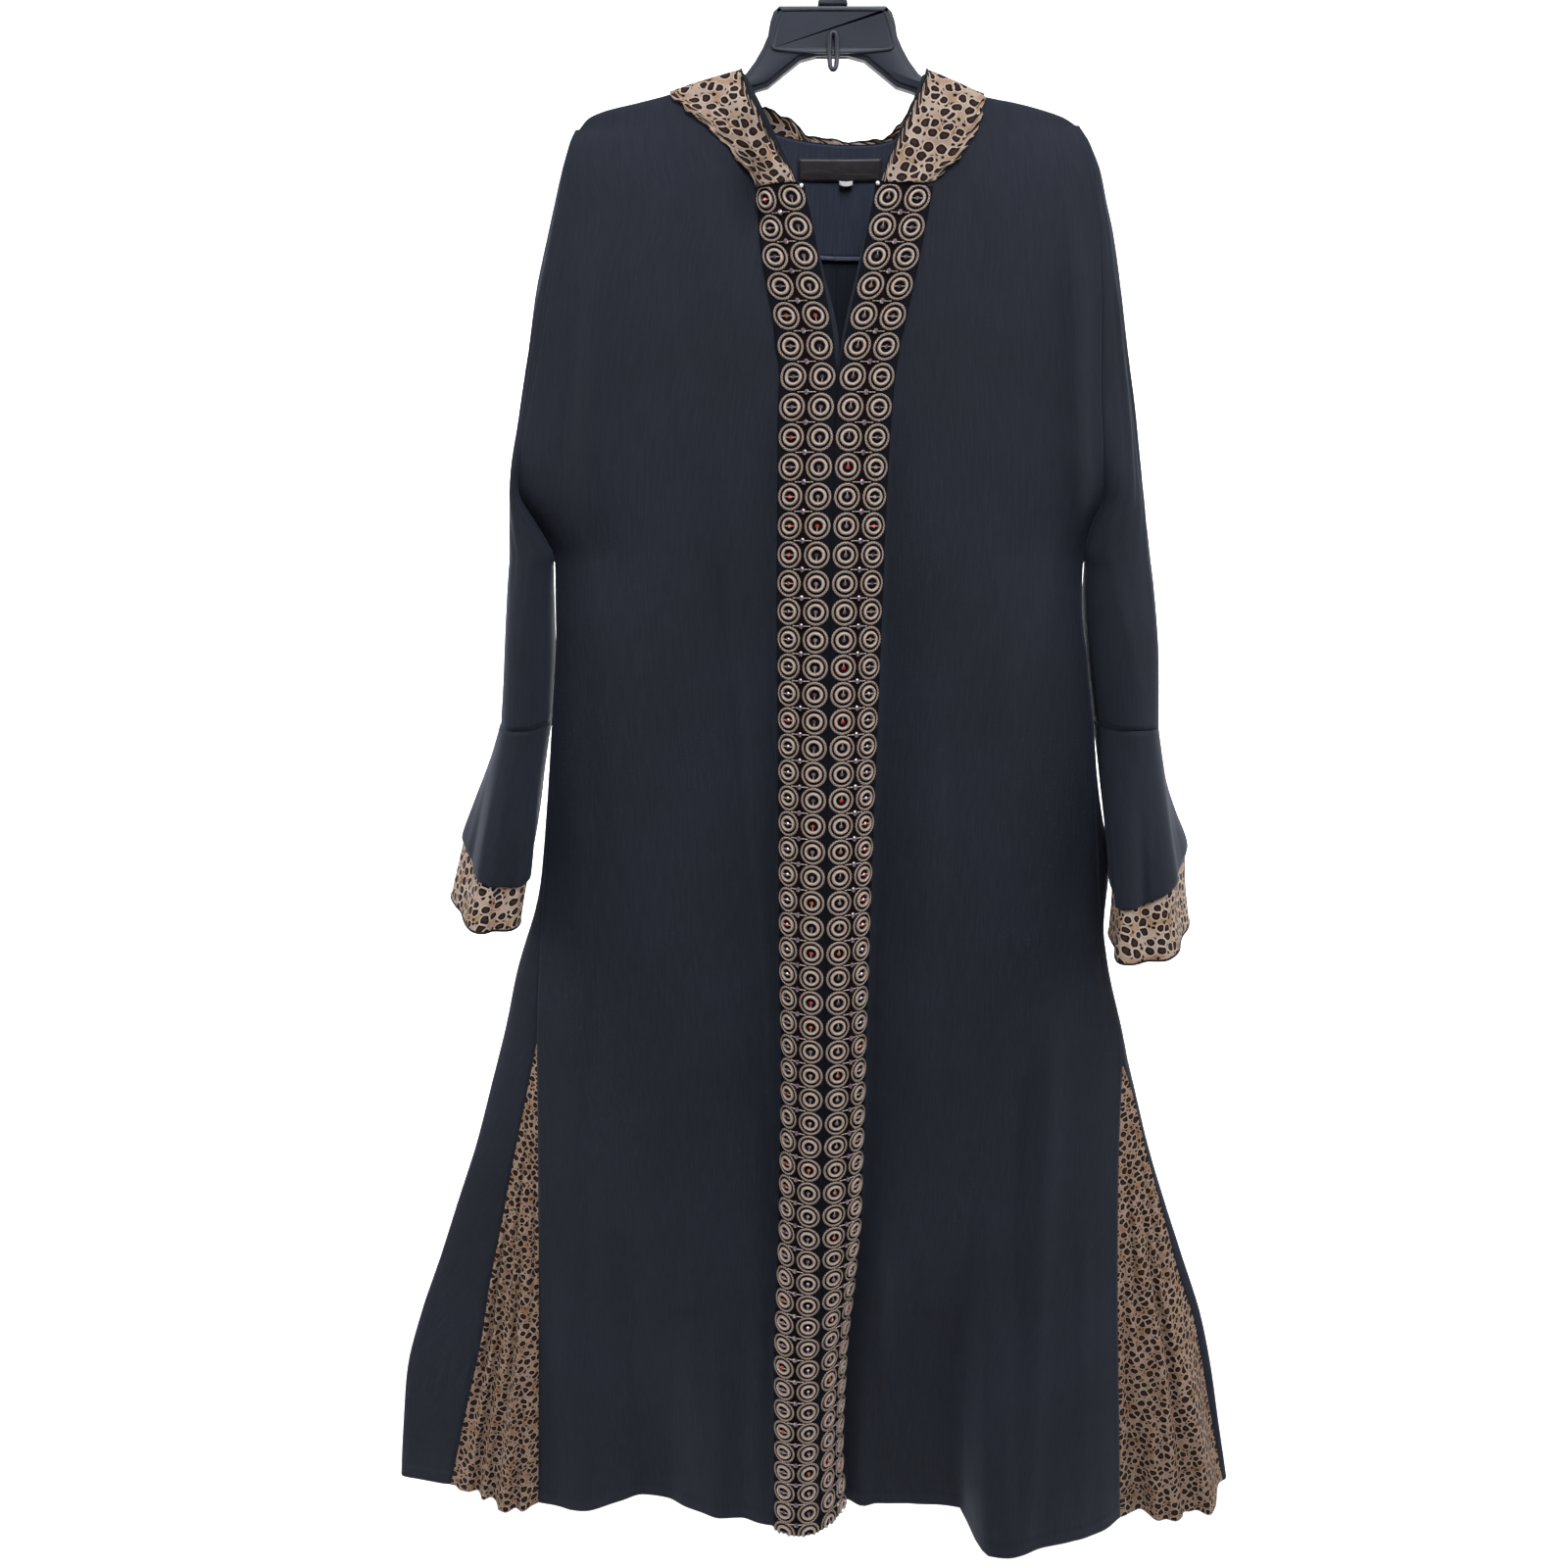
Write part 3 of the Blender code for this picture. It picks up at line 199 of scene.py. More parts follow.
# Where each back panel turns round the side of the body
BACK_FOLD = {
    LEFT: Table("z x y", (-178, -208, 29), (-236, -222, 30), (-317, -236, 32), (-426, -250, 32),
                (-491, -255, 28), (-548, -256, 14), (-580, -256, 7), (-612, -256, 5),
                (-660, -259, 4), (-705, -263, 4), (-780, -270, 4), (-860, -280, 4),
                (-893, -288, 4), (-927, -300, 6), (-958, -310, 8), (-1021, -325, 10),
                (-1085, -343, 12), (-1151, -362, 15), (-1218, -385, 18), (-1286, -408, 21),
                (-1356, -433, 25), (-1427, -453, 29), (-1500, -463, 34), (-1565, -471, 40)),
    RIGHT: Table("z x y", (-174.5, 200, 29), (-228, 217, 30), (-309, 228, 32), (-401, 236, 32),
                 (-480, 241, 28), (-548, 238, 14), (-585, 238, 12), (-650, 245.6, 16),
                 (-706, 254.4, 22), (-757, 262, 25), (-806, 272.6, 25), (-847, 282, 25),
                 (-870, 280, 21), (-890, 276.5, 14), (-910, 274, 8), (-945, 279, 5),
                 (-1021, 299, 9), (-1085, 316, 12), (-1151, 335, 16), (-1218, 358, 20),
                 (-1286, 383, 26), (-1356, 408, 32), (-1427, 426, 36), (-1500, 440, 40),
                 (-1565, 452, 42)),
}

# Where a godet ends at its top, and its seam to the back panel below that
GODET_TOP_Z = {LEFT: -1025.0, RIGHT: -1049.0}
GODET_START = 22.0
GODET_BACK = {
    LEFT: Table("z x y", (-1025, -289, -20), (-1098, -306, -13), (-1170, -323, -8),
                (-1234, -337, -4), (-1309, -354, -1), (-1378, -367, 2), (-1451, -385, 6),
                (-1565, -412, 12)),
    RIGHT: Table("z x y", (-1049, 298, -20), (-1083, 311, -14), (-1151, 331, -6),
                 (-1229, 356, 2), (-1308, 381, 10), (-1362, 401, 15), (-1409, 413, 19),
                 (-1478, 428, 22), (-1565, 447, 18)),
}

# Depth of the front and back halfway out, away from the trim and the sides
BODY_DEPTH = Table(
    "z front back",
    (-180, 30, 31), (-369, 38, 38), (-487, 42, 41), (-757, 46, 48), (-1054, 48, 58),
    (-1269, 45, 68), (-1565, 40, 82),
)

# Each sleeve by height: outline, inner side, and half its depth from front to back
SLEEVE = {
    LEFT: Table("z outer_x inner_x depth", (-178, -225.5, 0, 2.2), (-187, -229.5, 0, 10),
                (-200, -234, 0, 14), (-212, -238, 0, 17), (-238, -245, 0, 21),
                (-264, -252, 0, 24), (-314, -265, 0, 27), (-365, -274, 0, 28),
                (-417, -283, 0, 29), (-469, -292.5, 0, 31), (-523, -298, 0, 36),
                (-548, -299, -259.6, 39), (-577, -302, -260.6, 43), (-633, -307, -262, 51),
                (-704, -313, -267.5, 56)),
    RIGHT: Table("z outer_x inner_x depth", (-174.5, 217.5, 0, 2.2), (-187, 225.5, 0, 10),
                 (-200, 232, 0, 14), (-212, 237, 0, 17), (-238, 243, 0, 21),
                 (-264, 250, 0, 24), (-314, 260, 0, 27), (-365, 269, 0, 28),
                 (-417, 279, 0, 29), (-469, 287, 0, 31), (-523, 296, 0, 36),
                 (-548, 300, 241.4, 39), (-577, 305, 241.6, 43), (-633, 312, 247, 51),
                 (-704, 315, 258, 56)),
}
TURN_UNDER_FROM = 0.67
UNDERARM_TURN = math.radians(175.5)
SLEEVE_TURN = math.radians(168)

# How far each strip of trim lies out from the slit's edge
STRIP_SHIFT = {
    LEFT: Table("z out", (-241, 0.9), (-290, 1.4), (-339, 4.2), (-365, 4.6), (-391, 0.5),
                (-450, 0.0), (-620, 0.0)),
    RIGHT: Table("z out", (-241, 0.0), (-290, 1.7), (-339, 2.5), (-365, 1.8), (-391, 0.9),
                 (-450, 0.0), (-620, 0.0)),
}

# How far down its strip each row of rings lies
RING_DOWN = {
    LEFT: Table("row down", (0, 10.2), (3, 87.1), (8, 217.5), (15, 397), (24, 620.4), (33, 844.9),
                (42, 1071.5), (49, 1245), (53, 1339.3)),
    RIGHT: Table("row down", (0, 11), (3, 87), (8, 217.2), (15, 396.6), (24, 620), (33, 844.5),
                 (42, 1069), (49, 1242), (53, 1338.5)),
}

# The hem seen from below: share of the way out from the trim to the side, and depth
FRONT_HEM = {
    LEFT: Table("share y", (0.0, -40), (0.05, -45), (0.13, -38), (0.22, -39), (0.30, -29),
                (0.37, -20), (0.45, -7), (0.56, -3), (0.66, -13), (0.80, -27), (0.91, -21),
                (1.0, -14)),
    RIGHT: Table("share y", (0.0, -14), (0.07, -17), (0.20, -16), (0.33, -16), (0.42, -21),
                 (0.455, -66), (0.49, -90), (0.56, -94), (0.68, -80), (0.80, -70), (0.91, -57),
                 (1.0, -36)),
}
GODET_HEM = {
    LEFT: Table("share y", (0.0, -14), (0.12, -24), (0.28, -27), (0.40, -24), (0.45, -12),
                (0.53, -10), (0.60, -8), (0.65, 0), (0.80, 3), (1.0, 12)),
    RIGHT: Table("share y", (0.0, -36), (0.18, -27), (0.30, -36), (0.42, -42), (0.52, -36),
                 (0.56, -27), (0.70, -30), (0.84, -22), (1.0, 18)),
}
HEM_WAVE_TOP_Z = -1120.0

# Soft folds that the front and back panels share with their solids: a line from one point
# to another, its half width, its rise towards the viewer, and the length of its fading ends
FOLDS = {
    LEFT: (
        dict(x0=-112, z0=-430, x1=-66, z1=-1190, width=17, rise=-9, fade=180),
        dict(x0=-206, z0=-215, x1=-216, z1=-560, width=15, rise=6, fade=110),
        dict(x0=-150, z0=-820, x1=-185, z1=-1640, width=40, rise=8, fade=260),
    ),
    RIGHT: (
        dict(x0=211, z0=-215, x1=229, z1=-560, width=13, rise=7, fade=110),
        dict(x0=70, z0=-520, x1=66, z1=-1230, width=20, rise=-7, fade=200),
        dict(x0=52, z0=-1180, x1=76, z1=-1600, width=11, rise=9, fade=110),
        dict(x0=223, z0=-960, x1=215, z1=-1640, width=14, rise=7, fade=160),
    ),
}
BACK_WAVES = dict(count=2.5, depth=11.0, phase=0.9)

# Creases laid on each panel: half width, rise out of the cloth, length of the fading
# ends, then the places of its line, each an X and a Z
CREASES = {
    "front_left": (
        (7, -2.4, 120, (-91, -600), (-84, -781), (-71, -918), (-57, -1171), (-55, -1560)),
        (11, 1.6, 90, (-74, -700), (-62, -905), (-40, -1200), (-37, -1545)),
        (8, 1.5, 60, (-196, -230), (-207, -330), (-216, -470)),
        (6, -1.3, 50, (-222, -300), (-232, -400), (-246, -500)),
        (13, -1.7, 90, (-120, -190), (-132, -300), (-120, -430)),
        (16, 2.0, 150, (-176, -560), (-168, -800), (-181, -1060)),
        (12, -2.2, 160, (-226, -590), (-221, -850), (-240, -1180), (-252, -1560)),
        (10, 2.4, 110, (-131, -1130), (-136, -1330), (-128, -1590)),
        (8, -1.9, 80, (-196, -1260), (-204, -1420), (-201, -1600)),
        (6, 1.6, 70, (-270, -1300), (-276, -1440), (-274, -1600)),
    ),
    "front_right": (
        (7, 1.9, 70, (50, -1215), (66, -1350), (72, -1430), (71, -1590)),
        (6, -2.1, 60, (88, -1240), (96, -1390), (93, -1590)),
        (8, 1.8, 60, (211, -240), (211, -310), (220, -452), (229, -530)),
        (6, -1.4, 50, (228, -290), (231, -400), (240, -500)),
        (13, -1.8, 90, (118, -200), (126, -300), (112, -440)),
        (7, 2.2, 90, (224, -985), (214, -1119), (215, -1330), (212, -1590)),
        (8, -2.0, 90, (201, -1010), (196, -1180), (196, -1590)),
        (15, 2.0, 150, (158, -540), (166, -800), (160, -1090)),
        (12, -1.8, 130, (110, -640), (118, -880), (108, -1150)),
        (8, 1.7, 70, (262, -1180), (268, -1370), (274, -1600)),
    ),
    "back_left": (
        (14, 2.2, 120, (-60, -240), (-74, -420), (-66, -700)),
        (9, -2.0, 90, (-118, -230), (-128, -380), (-150, -520)),
        (12, 2.4, 150, (-150, -560), (-146, -900), (-166, -1250)),
        (9, -2.3, 120, (-92, -760), (-88, -1050), (-104, -1590)),
        (11, 2.6, 110, (-238, -1060), (-262, -1300), (-286, -1600)),
        (8, -1.8, 80, (-330, -1210), (-352, -1390), (-372, -1600)),
        (9, 1.7, 60, (-198, -270), (-214, -380), (-226, -500)),
    ),
    "back_right": (
        (13, -2.0, 120, (52, -260), (66, -450), (60, -760)),
        (10, 2.2, 90, (122, -230), (132, -370), (156, -510)),
        (12, -2.3, 150, (170, -600), (160, -930), (182, -1280)),
        (9, 2.4, 120, (96, -820), (90, -1100), (110, -1590)),
        (10, -2.4, 110, (248, -1080), (276, -1330), (300, -1600)),
        (9, 2.0, 80, (338, -1260), (362, -1420), (380, -1600)),
        (8, -1.6, 60, (202, -280), (214, -380), (224, -500)),
    ),
}

# Creases round the sleeves: half width and place as shares of the way from the front edge
# (-1) by the outer side (0) to the back edge (1), with the rise and the fading ends in mm
SLEEVE_CREASES = {
    LEFT: (
        (0.07, 2.0, 45, (-0.62, -300), (-0.55, -400), (-0.66, -520)),
        (0.06, -1.8, 40, (-0.36, -330), (-0.30, -450), (-0.38, -600)),
        (0.05, 1.6, 35, (-0.80, -470), (-0.62, -560), (-0.55, -660)),
        (0.08, 2.3, 50, (0.35, -280), (0.42, -420), (0.36, -640)),
        (0.06, -2.0, 40, (0.62, -380), (0.58, -500), (0.66, -680)),
        (0.05, -1.4, 35, (-0.12, -480), (-0.18, -580), (-0.10, -700)),
    ),
    RIGHT: (
        (0.07, 2.1, 45, (-0.58, -290), (-0.50, -410), (-0.60, -540)),
        (0.06, -1.7, 40, (-0.32, -350), (-0.26, -470), (-0.34, -620)),
        (0.05, 1.7, 35, (-0.78, -480), (-0.64, -570), (-0.52, -680)),
        (0.08, 2.2, 50, (0.32, -300), (0.40, -440), (0.34, -650)),
        (0.06, -1.9, 40, (0.60, -370), (0.55, -520), (0.62, -690)),
        (0.05, -1.5, 35, (-0.08, -460), (-0.15, -560), (-0.08, -700)),
    ),
}

# Cuffs, each from its seam to its hem: centre, half width, half depth, how far the front
# lies to the right of the back, and the slopes of the ring
CUFFS = {
    LEFT: dict(
        bell=Table("share x y wide deep skew z slope_out slope_front",
                   (0.0, -290.25, 0, 22.75, 56, 0, -704.6, 0, 0),
                   (0.33, -301, -4, 27, 61, 5, -749, 2, -5),
                   (0.67, -311, -8, 31, 67, 9, -792, 5, -13),
                   (1.0, -320, -10, 33, 72, 13, -828, 8, -20),
                   (1.5, -327, -11, 33, 76, 16, -856, 5, -13),
                   (2.0, -333, -12, 33, 80, 18, -882, 3, -6)),
        waves=5, phase=0.6,
    ),
    RIGHT: dict(
        bell=Table("share x y wide deep skew z slope_out slope_front",
                   (0.0, 286.5, 0, 28.5, 56, 0, -704.6, 0, 0),
                   (0.33, 295, -9, 31, 61, -9, -757, 3, -5),
                   (0.67, 304, -18, 33, 67, -18, -806, 7, -10),
                   (1.0, 311, -24, 35, 72, -25, -847, 11, -15),
                   (1.5, 312, -26, 35, 76, -27, -879, 6, -9),
                   (2.0, 314.5, -27, 37, 80, -28, -910, 1, -3)),
        waves=5, phase=2.2,
    ),
}
CUFF_WAVE = 0.1
UNDER_INSET = 2.4

# The collar on the fronts and round the back: inner edge, then outer edge
COLLAR_FRONT = {
    LEFT: ((-79, -131.5, -141, -149), (-78.7, -132.6, -140.8, -150.1), (-78.3, -135, -140, -152.6),
           (-77, -139, -137, -156), (-73, -150, -127, -164), (-64, -168, -112, -177),
           (-54, -187, -97, -190), (-44, -204, -82, -205), (-36, -216, -72, -216),
           (-30, -226.5, -65, -226.5)),
    RIGHT: ((82, -131.5, 132, -150.5), (81.8, -132.6, 132, -151.6), (81.4, -135, 132, -154),
            (80.3, -139, 131.7, -158.5), (76, -149, 130.5, -168), (69, -164, 125, -182),
            (60, -182, 117, -196), (52, -200, 107, -208), (46, -214, 96, -218),
            (41, -226.5, 86, -226.5)),
}
COLLAR_BACK = (
    (-79, -131.5, -141, -149), (-78.8, -132.6, -140.9, -150.1), (-78.4, -135, -140.5, -152.6),
    (-77, -139, -139, -158), (-72, -147, -134, -172), (-64, -154, -122, -192),
    (-53, -157, -103, -212), (-36, -164, -74, -228), (-20, -175.5, -38, -238),
    (6, -180.5, 4, -243), (34, -181, 45, -238), (51, -177, 80, -226), (62, -167, 107, -208),
    (71, -154, 123, -188), (79, -139, 131, -162), (81.4, -135, 132, -154),
    (81.8, -132.6, 132, -151.6), (82, -131.5, 132, -150.5),
)

# What is sewn inside the back neck
LABEL = dict(left=-29.0, right=46.0, top=-196.0, bottom=-214.5)
SIZE_TAB = dict(left=8.0, right=20.0, top=-210.0, bottom=-219.4)

# The hanger
HANGER_THICK = 8.0
ARM_DROP = 1.8
TIP_DROP = 4.0
ARM_HEIGHT = 17.0
HANGER_TIP = {LEFT: -205.0, RIGHT: 197.0}
HANGER_NECK = 84.0
CAP_THICK = 2.4
LAYER_GAP = 0.45
HOOK_WIRE = 3.6
HOOK_INSIDE = 19.0

# Outlines of the hanger's cap and boss as X and Z, the small hook's line as X, Y and Z, and
# the stem of the steel hook up to its turn as X and Z
CAP_OUTLINE = [
    (-40, -82.2), (-46, -85), (-49.5, -93), (-53.6, -108), (-52.5, -113.2), (-47, -115.4),
    (-18, -117.6), (18, -117.6), (47, -115.4), (52.5, -113.2), (53.6, -108), (49.5, -93),
    (46, -85), (40, -82.2),
]
BOSS_OUTLINE = [
    (-13, -78.6), (13, -78.6), (12.6, -75.5), (10.4, -72.6), (6.6, -70.6), (5.6, -67.5),
    (5.0, -66.0), (-5.0, -66.0), (-5.6, -67.5), (-6.6, -70.6), (-10.4, -72.6), (-12.6, -75.5),
]
SMALL_HOOK = [
    (-2.4, 0.0, -105), (-2.7, 0.0, -112), (-2.7, -0.5, -121), (-2.2, -2.0, -128),
    (-1.2, -3.4, -131.2), (0.5, -4.0, -132.4), (2.2, -3.4, -131.2), (3.2, -2.0, -128),
    (3.7, -0.5, -121), (3.7, 0.0, -112), (3.4, 0.0, -105), (2.2, 0.2, -102.6),
    (0.5, 0.3, -102.0), (-1.2, 0.2, -102.6),
]
HOOK_STEM = [
    (0.0, -66.5), (0.0, -62.0), (0.0, -58.0), (0.4, -54.0), (1.2, -51.0), (3.0, -47.6),
    (5.5, -44.5), (8.6, -41.4), (11.5, -38.5),
]

# The two beads at the neck, X and Z
NECK_BEADS = {LEFT: (-27.0, -230.0), RIGHT: (39.0, -228.0)}
BEAD_RADIUS = 1.7

# The stage: the camera in metres, mm of lens and degrees, and in mm the floor, which turns
# up into the wall behind the garment
CAMERA_PLACE = (-0.042, -1.260, -0.494)
CAMERA_LENS = 30.375
CAMERA_SENSOR = 36.0
CAMERA_DIP = 12.2
FLOOR_FRONT_Y = -6000.0
WALL_TURN_Y = 1000.0
WALL_TURN_RADIUS = 500.0
WALL_HEIGHT = 6000.0
WALL_HALF_WIDTH = 7000.0

# Lights: the setting of their power and the share of it, their size, place and aim in metres
LIGHTS = (
    ("key_light", "key_power", 1.0, 2.0, (0.3, -1.9, 2.2), (0.0, 0.0, -0.05)),
    ("fill_light_right", "fill_power", 1.0, 2.0, (2.4, -1.3, 0.4), (0.0, 0.0, -0.2)),
    ("fill_light_left", "fill_power", 1.0, 2.0, (-2.4, -1.3, 0.4), (0.0, 0.0, -0.2)),
    ("back_light", "fill_power", 0.45, 1.6, (0.4, 1.35, 0.6), (0.0, 0.0, -0.5)),
    ("wall_light_left", "wall_power", 1.0, 1.6, (-2.2, 0.3, 0.4), (-0.8, 1.5, -0.7)),
    ("wall_light_right", "wall_power", 1.0, 1.6, (2.2, 0.3, 0.4), (0.8, 1.5, -0.7)),
)


# Surfaces, each read for whole arrays of places at once

def ridge_turn(side, share, z):
    """How far the ridge is turned, in radians, and its rate of turning along its arc."""
    middle = np.radians(RIDGE.read("turn_middle", z))
    end = np.radians(RIDGE.read("turn_left" if side == LEFT else "turn_right", z))
    return middle, blend(middle, end, share), (end - middle) / (side * RIDGE_SPAN)


def ridge_point(side, share, z):
    """X and Y on the ridge under the trim, share of its span out from the centre front."""
    start = RIDGE.read("left_x" if side == LEFT else "right_x", z)
    middle, turned, rate = ridge_turn(side, share, z)
    rate = np.where(np.abs(rate) < 1e-6, 1e-6, rate)
    turned = middle + rate * side * share * RIDGE_SPAN
    x = start + (np.sin(turned) - np.sin(middle)) / rate
    return x, RIDGE.read("y", z) - (np.cos(turned) - np.cos(middle)) / rate


def ridge_normal(side, share, z):
    """Direction out of the ridge, towards the viewer."""
    turned = ridge_turn(side, share, z)[1]
    return np.stack([np.sin(turned), -np.cos(turned), np.zeros_like(turned)], -1)


def shoulder_share(x, z):
    """How far the cloth has opened from its crest, 0 on the crest and 1 well below it."""
    drop = np.maximum(0.0, SHOULDER_CREST.read("z", x) - z)
    rounded = np.minimum(drop, SHOULDER_ROLL) / SHOULDER_ROLL
    roll = SHOULDER_ROLL * np.sqrt(1.0 - (1.0 - rounded) ** 2)
    spread = (SHOULDER_DEPTH - SHOULDER_ROLL) * (1.0 - np.exp(-drop / SHOULDER_SPREAD))
    return (roll + spread) / SHOULDER_DEPTH


def shoulder_tip(side):
    return SLEEVE[side].rows[-1, 0]


def armhole_turn(share):
    """Angle from the sleeve's outer side to the armhole's edge."""
    under = smooth((share - TURN_UNDER_FROM) / (1.0 - TURN_UNDER_FROM))
    return blend(math.pi / 2, UNDERARM_TURN, under)


def armhole_depth(side, z):
    """Depth of the armhole's edge in front of or behind the hanger's plane."""
    share = (z - shoulder_tip(side)) / (UNDERARM_Z - shoulder_tip(side))
    return SLEEVE[side].read("depth", z) * np.sin(armhole_turn(share))


def front_edge(side, z):
    """Side edge of a front panel."""
    y = np.where(z >= UNDERARM_Z, -armhole_depth(side, z), FRONT_EDGE[side].read("y", z))
    return FRONT_EDGE[side].read("x", z), y


def fold_rise(side, x, z):
    """Sum of the soft folds at a place on a front."""
    rise = np.zeros(np.broadcast(x, z).shape)
    for fold in FOLDS[side]:
        along = (fold["z0"] - z) / (fold["z0"] - fold["z1"])
        middle = blend(fold["x0"], fold["x1"], along)
        ends = smooth((fold["z0"] - z) / fold["fade"]) * smooth((z - fold["z1"]) / fold["fade"])
        rise += fold["rise"] * ends * np.exp(-((x - middle) / fold["width"]) ** 2)
    return rise


def crease_rise(creases, across, z):
    """Sum of the creases laid on a panel, at places given by how far across they are and Z."""
    rise = np.zeros(np.broadcast(across, z).shape)
    for width, height, fade, *line in creases:
        line = np.array(line, float)[::-1]
        middle = Table("z across", *[(row[1], row[0]) for row in line]).read("across", z)
        ends = smooth((line[-1, 1] - z) / fade) * smooth((z - line[0, 1]) / fade)
        rise += height * ends * np.exp(-((across - middle) / width) ** 2)
    return rise


def drape(x, z, start):
    """Slow swell of hanging cloth in mm, about 1 high, its crests running down the cloth."""
    return (
        0.55 * np.sin(x / 29.0 + z / 410.0 + start)
        + 0.40 * np.sin(x / 17.0 - z / 300.0 + 2.3 * start)
        + 0.30 * np.sin(x / 51.0 + z / 190.0 + 4.1 * start)
        + 0.14 * np.sin(x / 9.0 + z / 150.0 + 3.3 * start)
    )


def hem_share(z):
    """How much of the hem's waves shows at this height."""
    return smooth((HEM_WAVE_TOP_Z - z) / (HEM_WAVE_TOP_Z - HEM_Z)) ** 1.3


def hem_fold(above):
    """Rise of the turned hem and dip of its stitch line, by the distance above the edge."""
    return 0.5 * smooth((19.0 - above) / 2.0) - 0.5 * np.exp(-((above - 17.0) / 1.3) ** 2)


def front_cloth(side, share, z, depth):
    """X and Y on a front panel, share of the way from the trim's edge to the side."""
    near_x, near_y = ridge_point(side, 1.0, z)
    edge_x, edge_y = front_edge(side, z)
    x = blend(near_x, edge_x, share)
    y = -BODY_DEPTH.read("front", z)
    y = blend(y, near_y, np.exp(-((x - near_x) / 22.0) ** 2))
    opened = shoulder_share(x, z)
    y = blend(y * opened, edge_y, share ** 4)
    y = y - fold_rise(side, x, z) * smooth((1.0 - share) * 12.0) * opened
    y = blend(y, FRONT_HEM[side].read("y", share), hem_share(z) * smooth(share * 9.0))
    held = smooth(share * 14.0) * smooth((1.0 - share) * 14.0) * smooth((opened - 0.3) * 3.0)
    laid = crease_rise(CREASES["front_" + SIDE_NAME[side]], x, z) * depth
    swell = drape(x, z, 0.7 * side) * blend(0.7, 1.8, smooth((UNDERARM_Z - z) / 800.0))
    return x, y - (laid + swell) * held - hem_fold(z - HEM_Z) * smooth(share * 20.0)


def front_column(side, column, z, depth=1.0):
    """X and Y on a front panel: a ridge share, or one more than a cloth share."""
    ridge_x, ridge_y = ridge_point(side, np.minimum(column, 1.0), z)
    ridge_y = ridge_y * shoulder_share(ridge_x, z)
    cloth_x, cloth_y = front_cloth(side, np.maximum(column - 1.0, 0.0), z, depth)
    on_ridge = column <= 1.0
    return np.where(on_ridge, ridge_x, cloth_x), np.where(on_ridge, ridge_y, cloth_y)


def back_seam(side, z):
    """Side edge of a back panel: armhole, side seam, then the godet's back seam."""
    edge_x, edge_y = front_edge(side, z)
    edge_y = edge_y + 2.0 * smooth((z - UNDERARM_Z + 23.0) / 23.0)
    above, middle = z >= UNDERARM_Z, z >= GODET_TOP_Z[side]
    x = np.where(middle, edge_x, GODET_BACK[side].read("x", z))
    y = np.where(middle, edge_y, GODET_BACK[side].read("y", z))
    x = np.where(above, BACK_ARMHOLE[side].read("x", z), x)
    return x, np.where(above, armhole_depth(side, z), y)


def curve_through(points, share):
    """Place on a smooth curve through points, each at the same share from the last."""
    points = np.stack(points)
    count = len(points) - 1
    i = np.minimum(count - 1, (share * count).astype(int))
    t = share * count - i
    ends = np.concatenate([[2 * points[0] - points[1]], points, [2 * points[-1] - points[-2]]])
    a, b, c, d = (np.take_along_axis(ends, (i + step)[None], 0)[0] for step in range(4))
    return (
        2 * b + (c - a) * t + (2 * a - 5 * b + 4 * c - d) * t ** 2
        + (3 * b - a - 3 * c + d) * t ** 3
    ) / 2


def back_point(side, share, z, depth=1.0):
    """X and Y on a back panel, share of the way from the centre back round to the side."""
    share, z = np.broadcast_arrays(share, z)
    fold_x, fold_y = BACK_FOLD[side].read("x", z), BACK_FOLD[side].read("y", z)
    seam_x, seam_y = back_seam(side, z)
    deep = BODY_DEPTH.read("back", z)
    centre = np.full(z.shape, CENTRE_BACK_X)
    out = fold_x - CENTRE_BACK_X
    x = curve_through([centre, centre + 0.36 * out, centre + 0.7 * out, centre + 0.93 * out,
                       fold_x, seam_x], share)
    y = curve_through([deep, deep, 0.95 * deep, blend(fold_y, deep, 0.55), fold_y, seam_y], share)
    wave = np.cos(2 * np.pi * BACK_WAVES["count"] * (x - CENTRE_BACK_X) / out
                  + BACK_WAVES["phase"] * side)
    opened = shoulder_share(x, z)
    y = blend(y * opened, seam_y, share ** 6)
    y = y + BACK_WAVES["depth"] * wave * hem_share(z) * smooth((1.0 - share) * 4.0)
    held = smooth(share * 10.0) * smooth((0.72 - share) * 8.0) * smooth((opened - 0.3) * 3.0)
    laid = crease_rise(CREASES["back_" + SIDE_NAME[side]], x, z) * depth
    swell = drape(x, z, 1.9 + 0.6 * side) * blend(0.7, 2.0, smooth((UNDERARM_Z - z) / 800.0))
    seam_dip = 0.7 * np.exp(-((x - CENTRE_BACK_X) / 2.2) ** 2)
    return x, y + (laid + swell) * held - seam_dip + hem_fold(z - HEM_Z)


def find_y(point_at, high, side, x, z):
    """Depth of a panel at places seen from the front or the back."""
    low, high = np.zeros(x.shape), np.full(x.shape, high)
    for _ in range(30):
        middle = (low + high) / 2
        inside = (point_at(side, middle, z)[0] - x) * side < 0
        low, high = np.where(inside, middle, low), np.where(inside, high, middle)
    return point_at(side, (low + high) / 2, z)[1]


def back_y(x, z):
    halves = [find_y(back_point, 0.75, side, x, z) for side in (LEFT, RIGHT)]
    return np.where(x < CENTRE_BACK_X, *halves)


# Grids of cloth

def armhole_shares():
    """Rows from the crest to the underarm: round the roll of the shoulder, then even."""
    reach = 370.0
    roll = SHOULDER_ROLL * (1.0 - np.cos(np.linspace(0.0, math.pi / 2, 8))) / reach
    return np.concatenate([roll[:-1], np.linspace(roll[-1], 1.0, 64)])


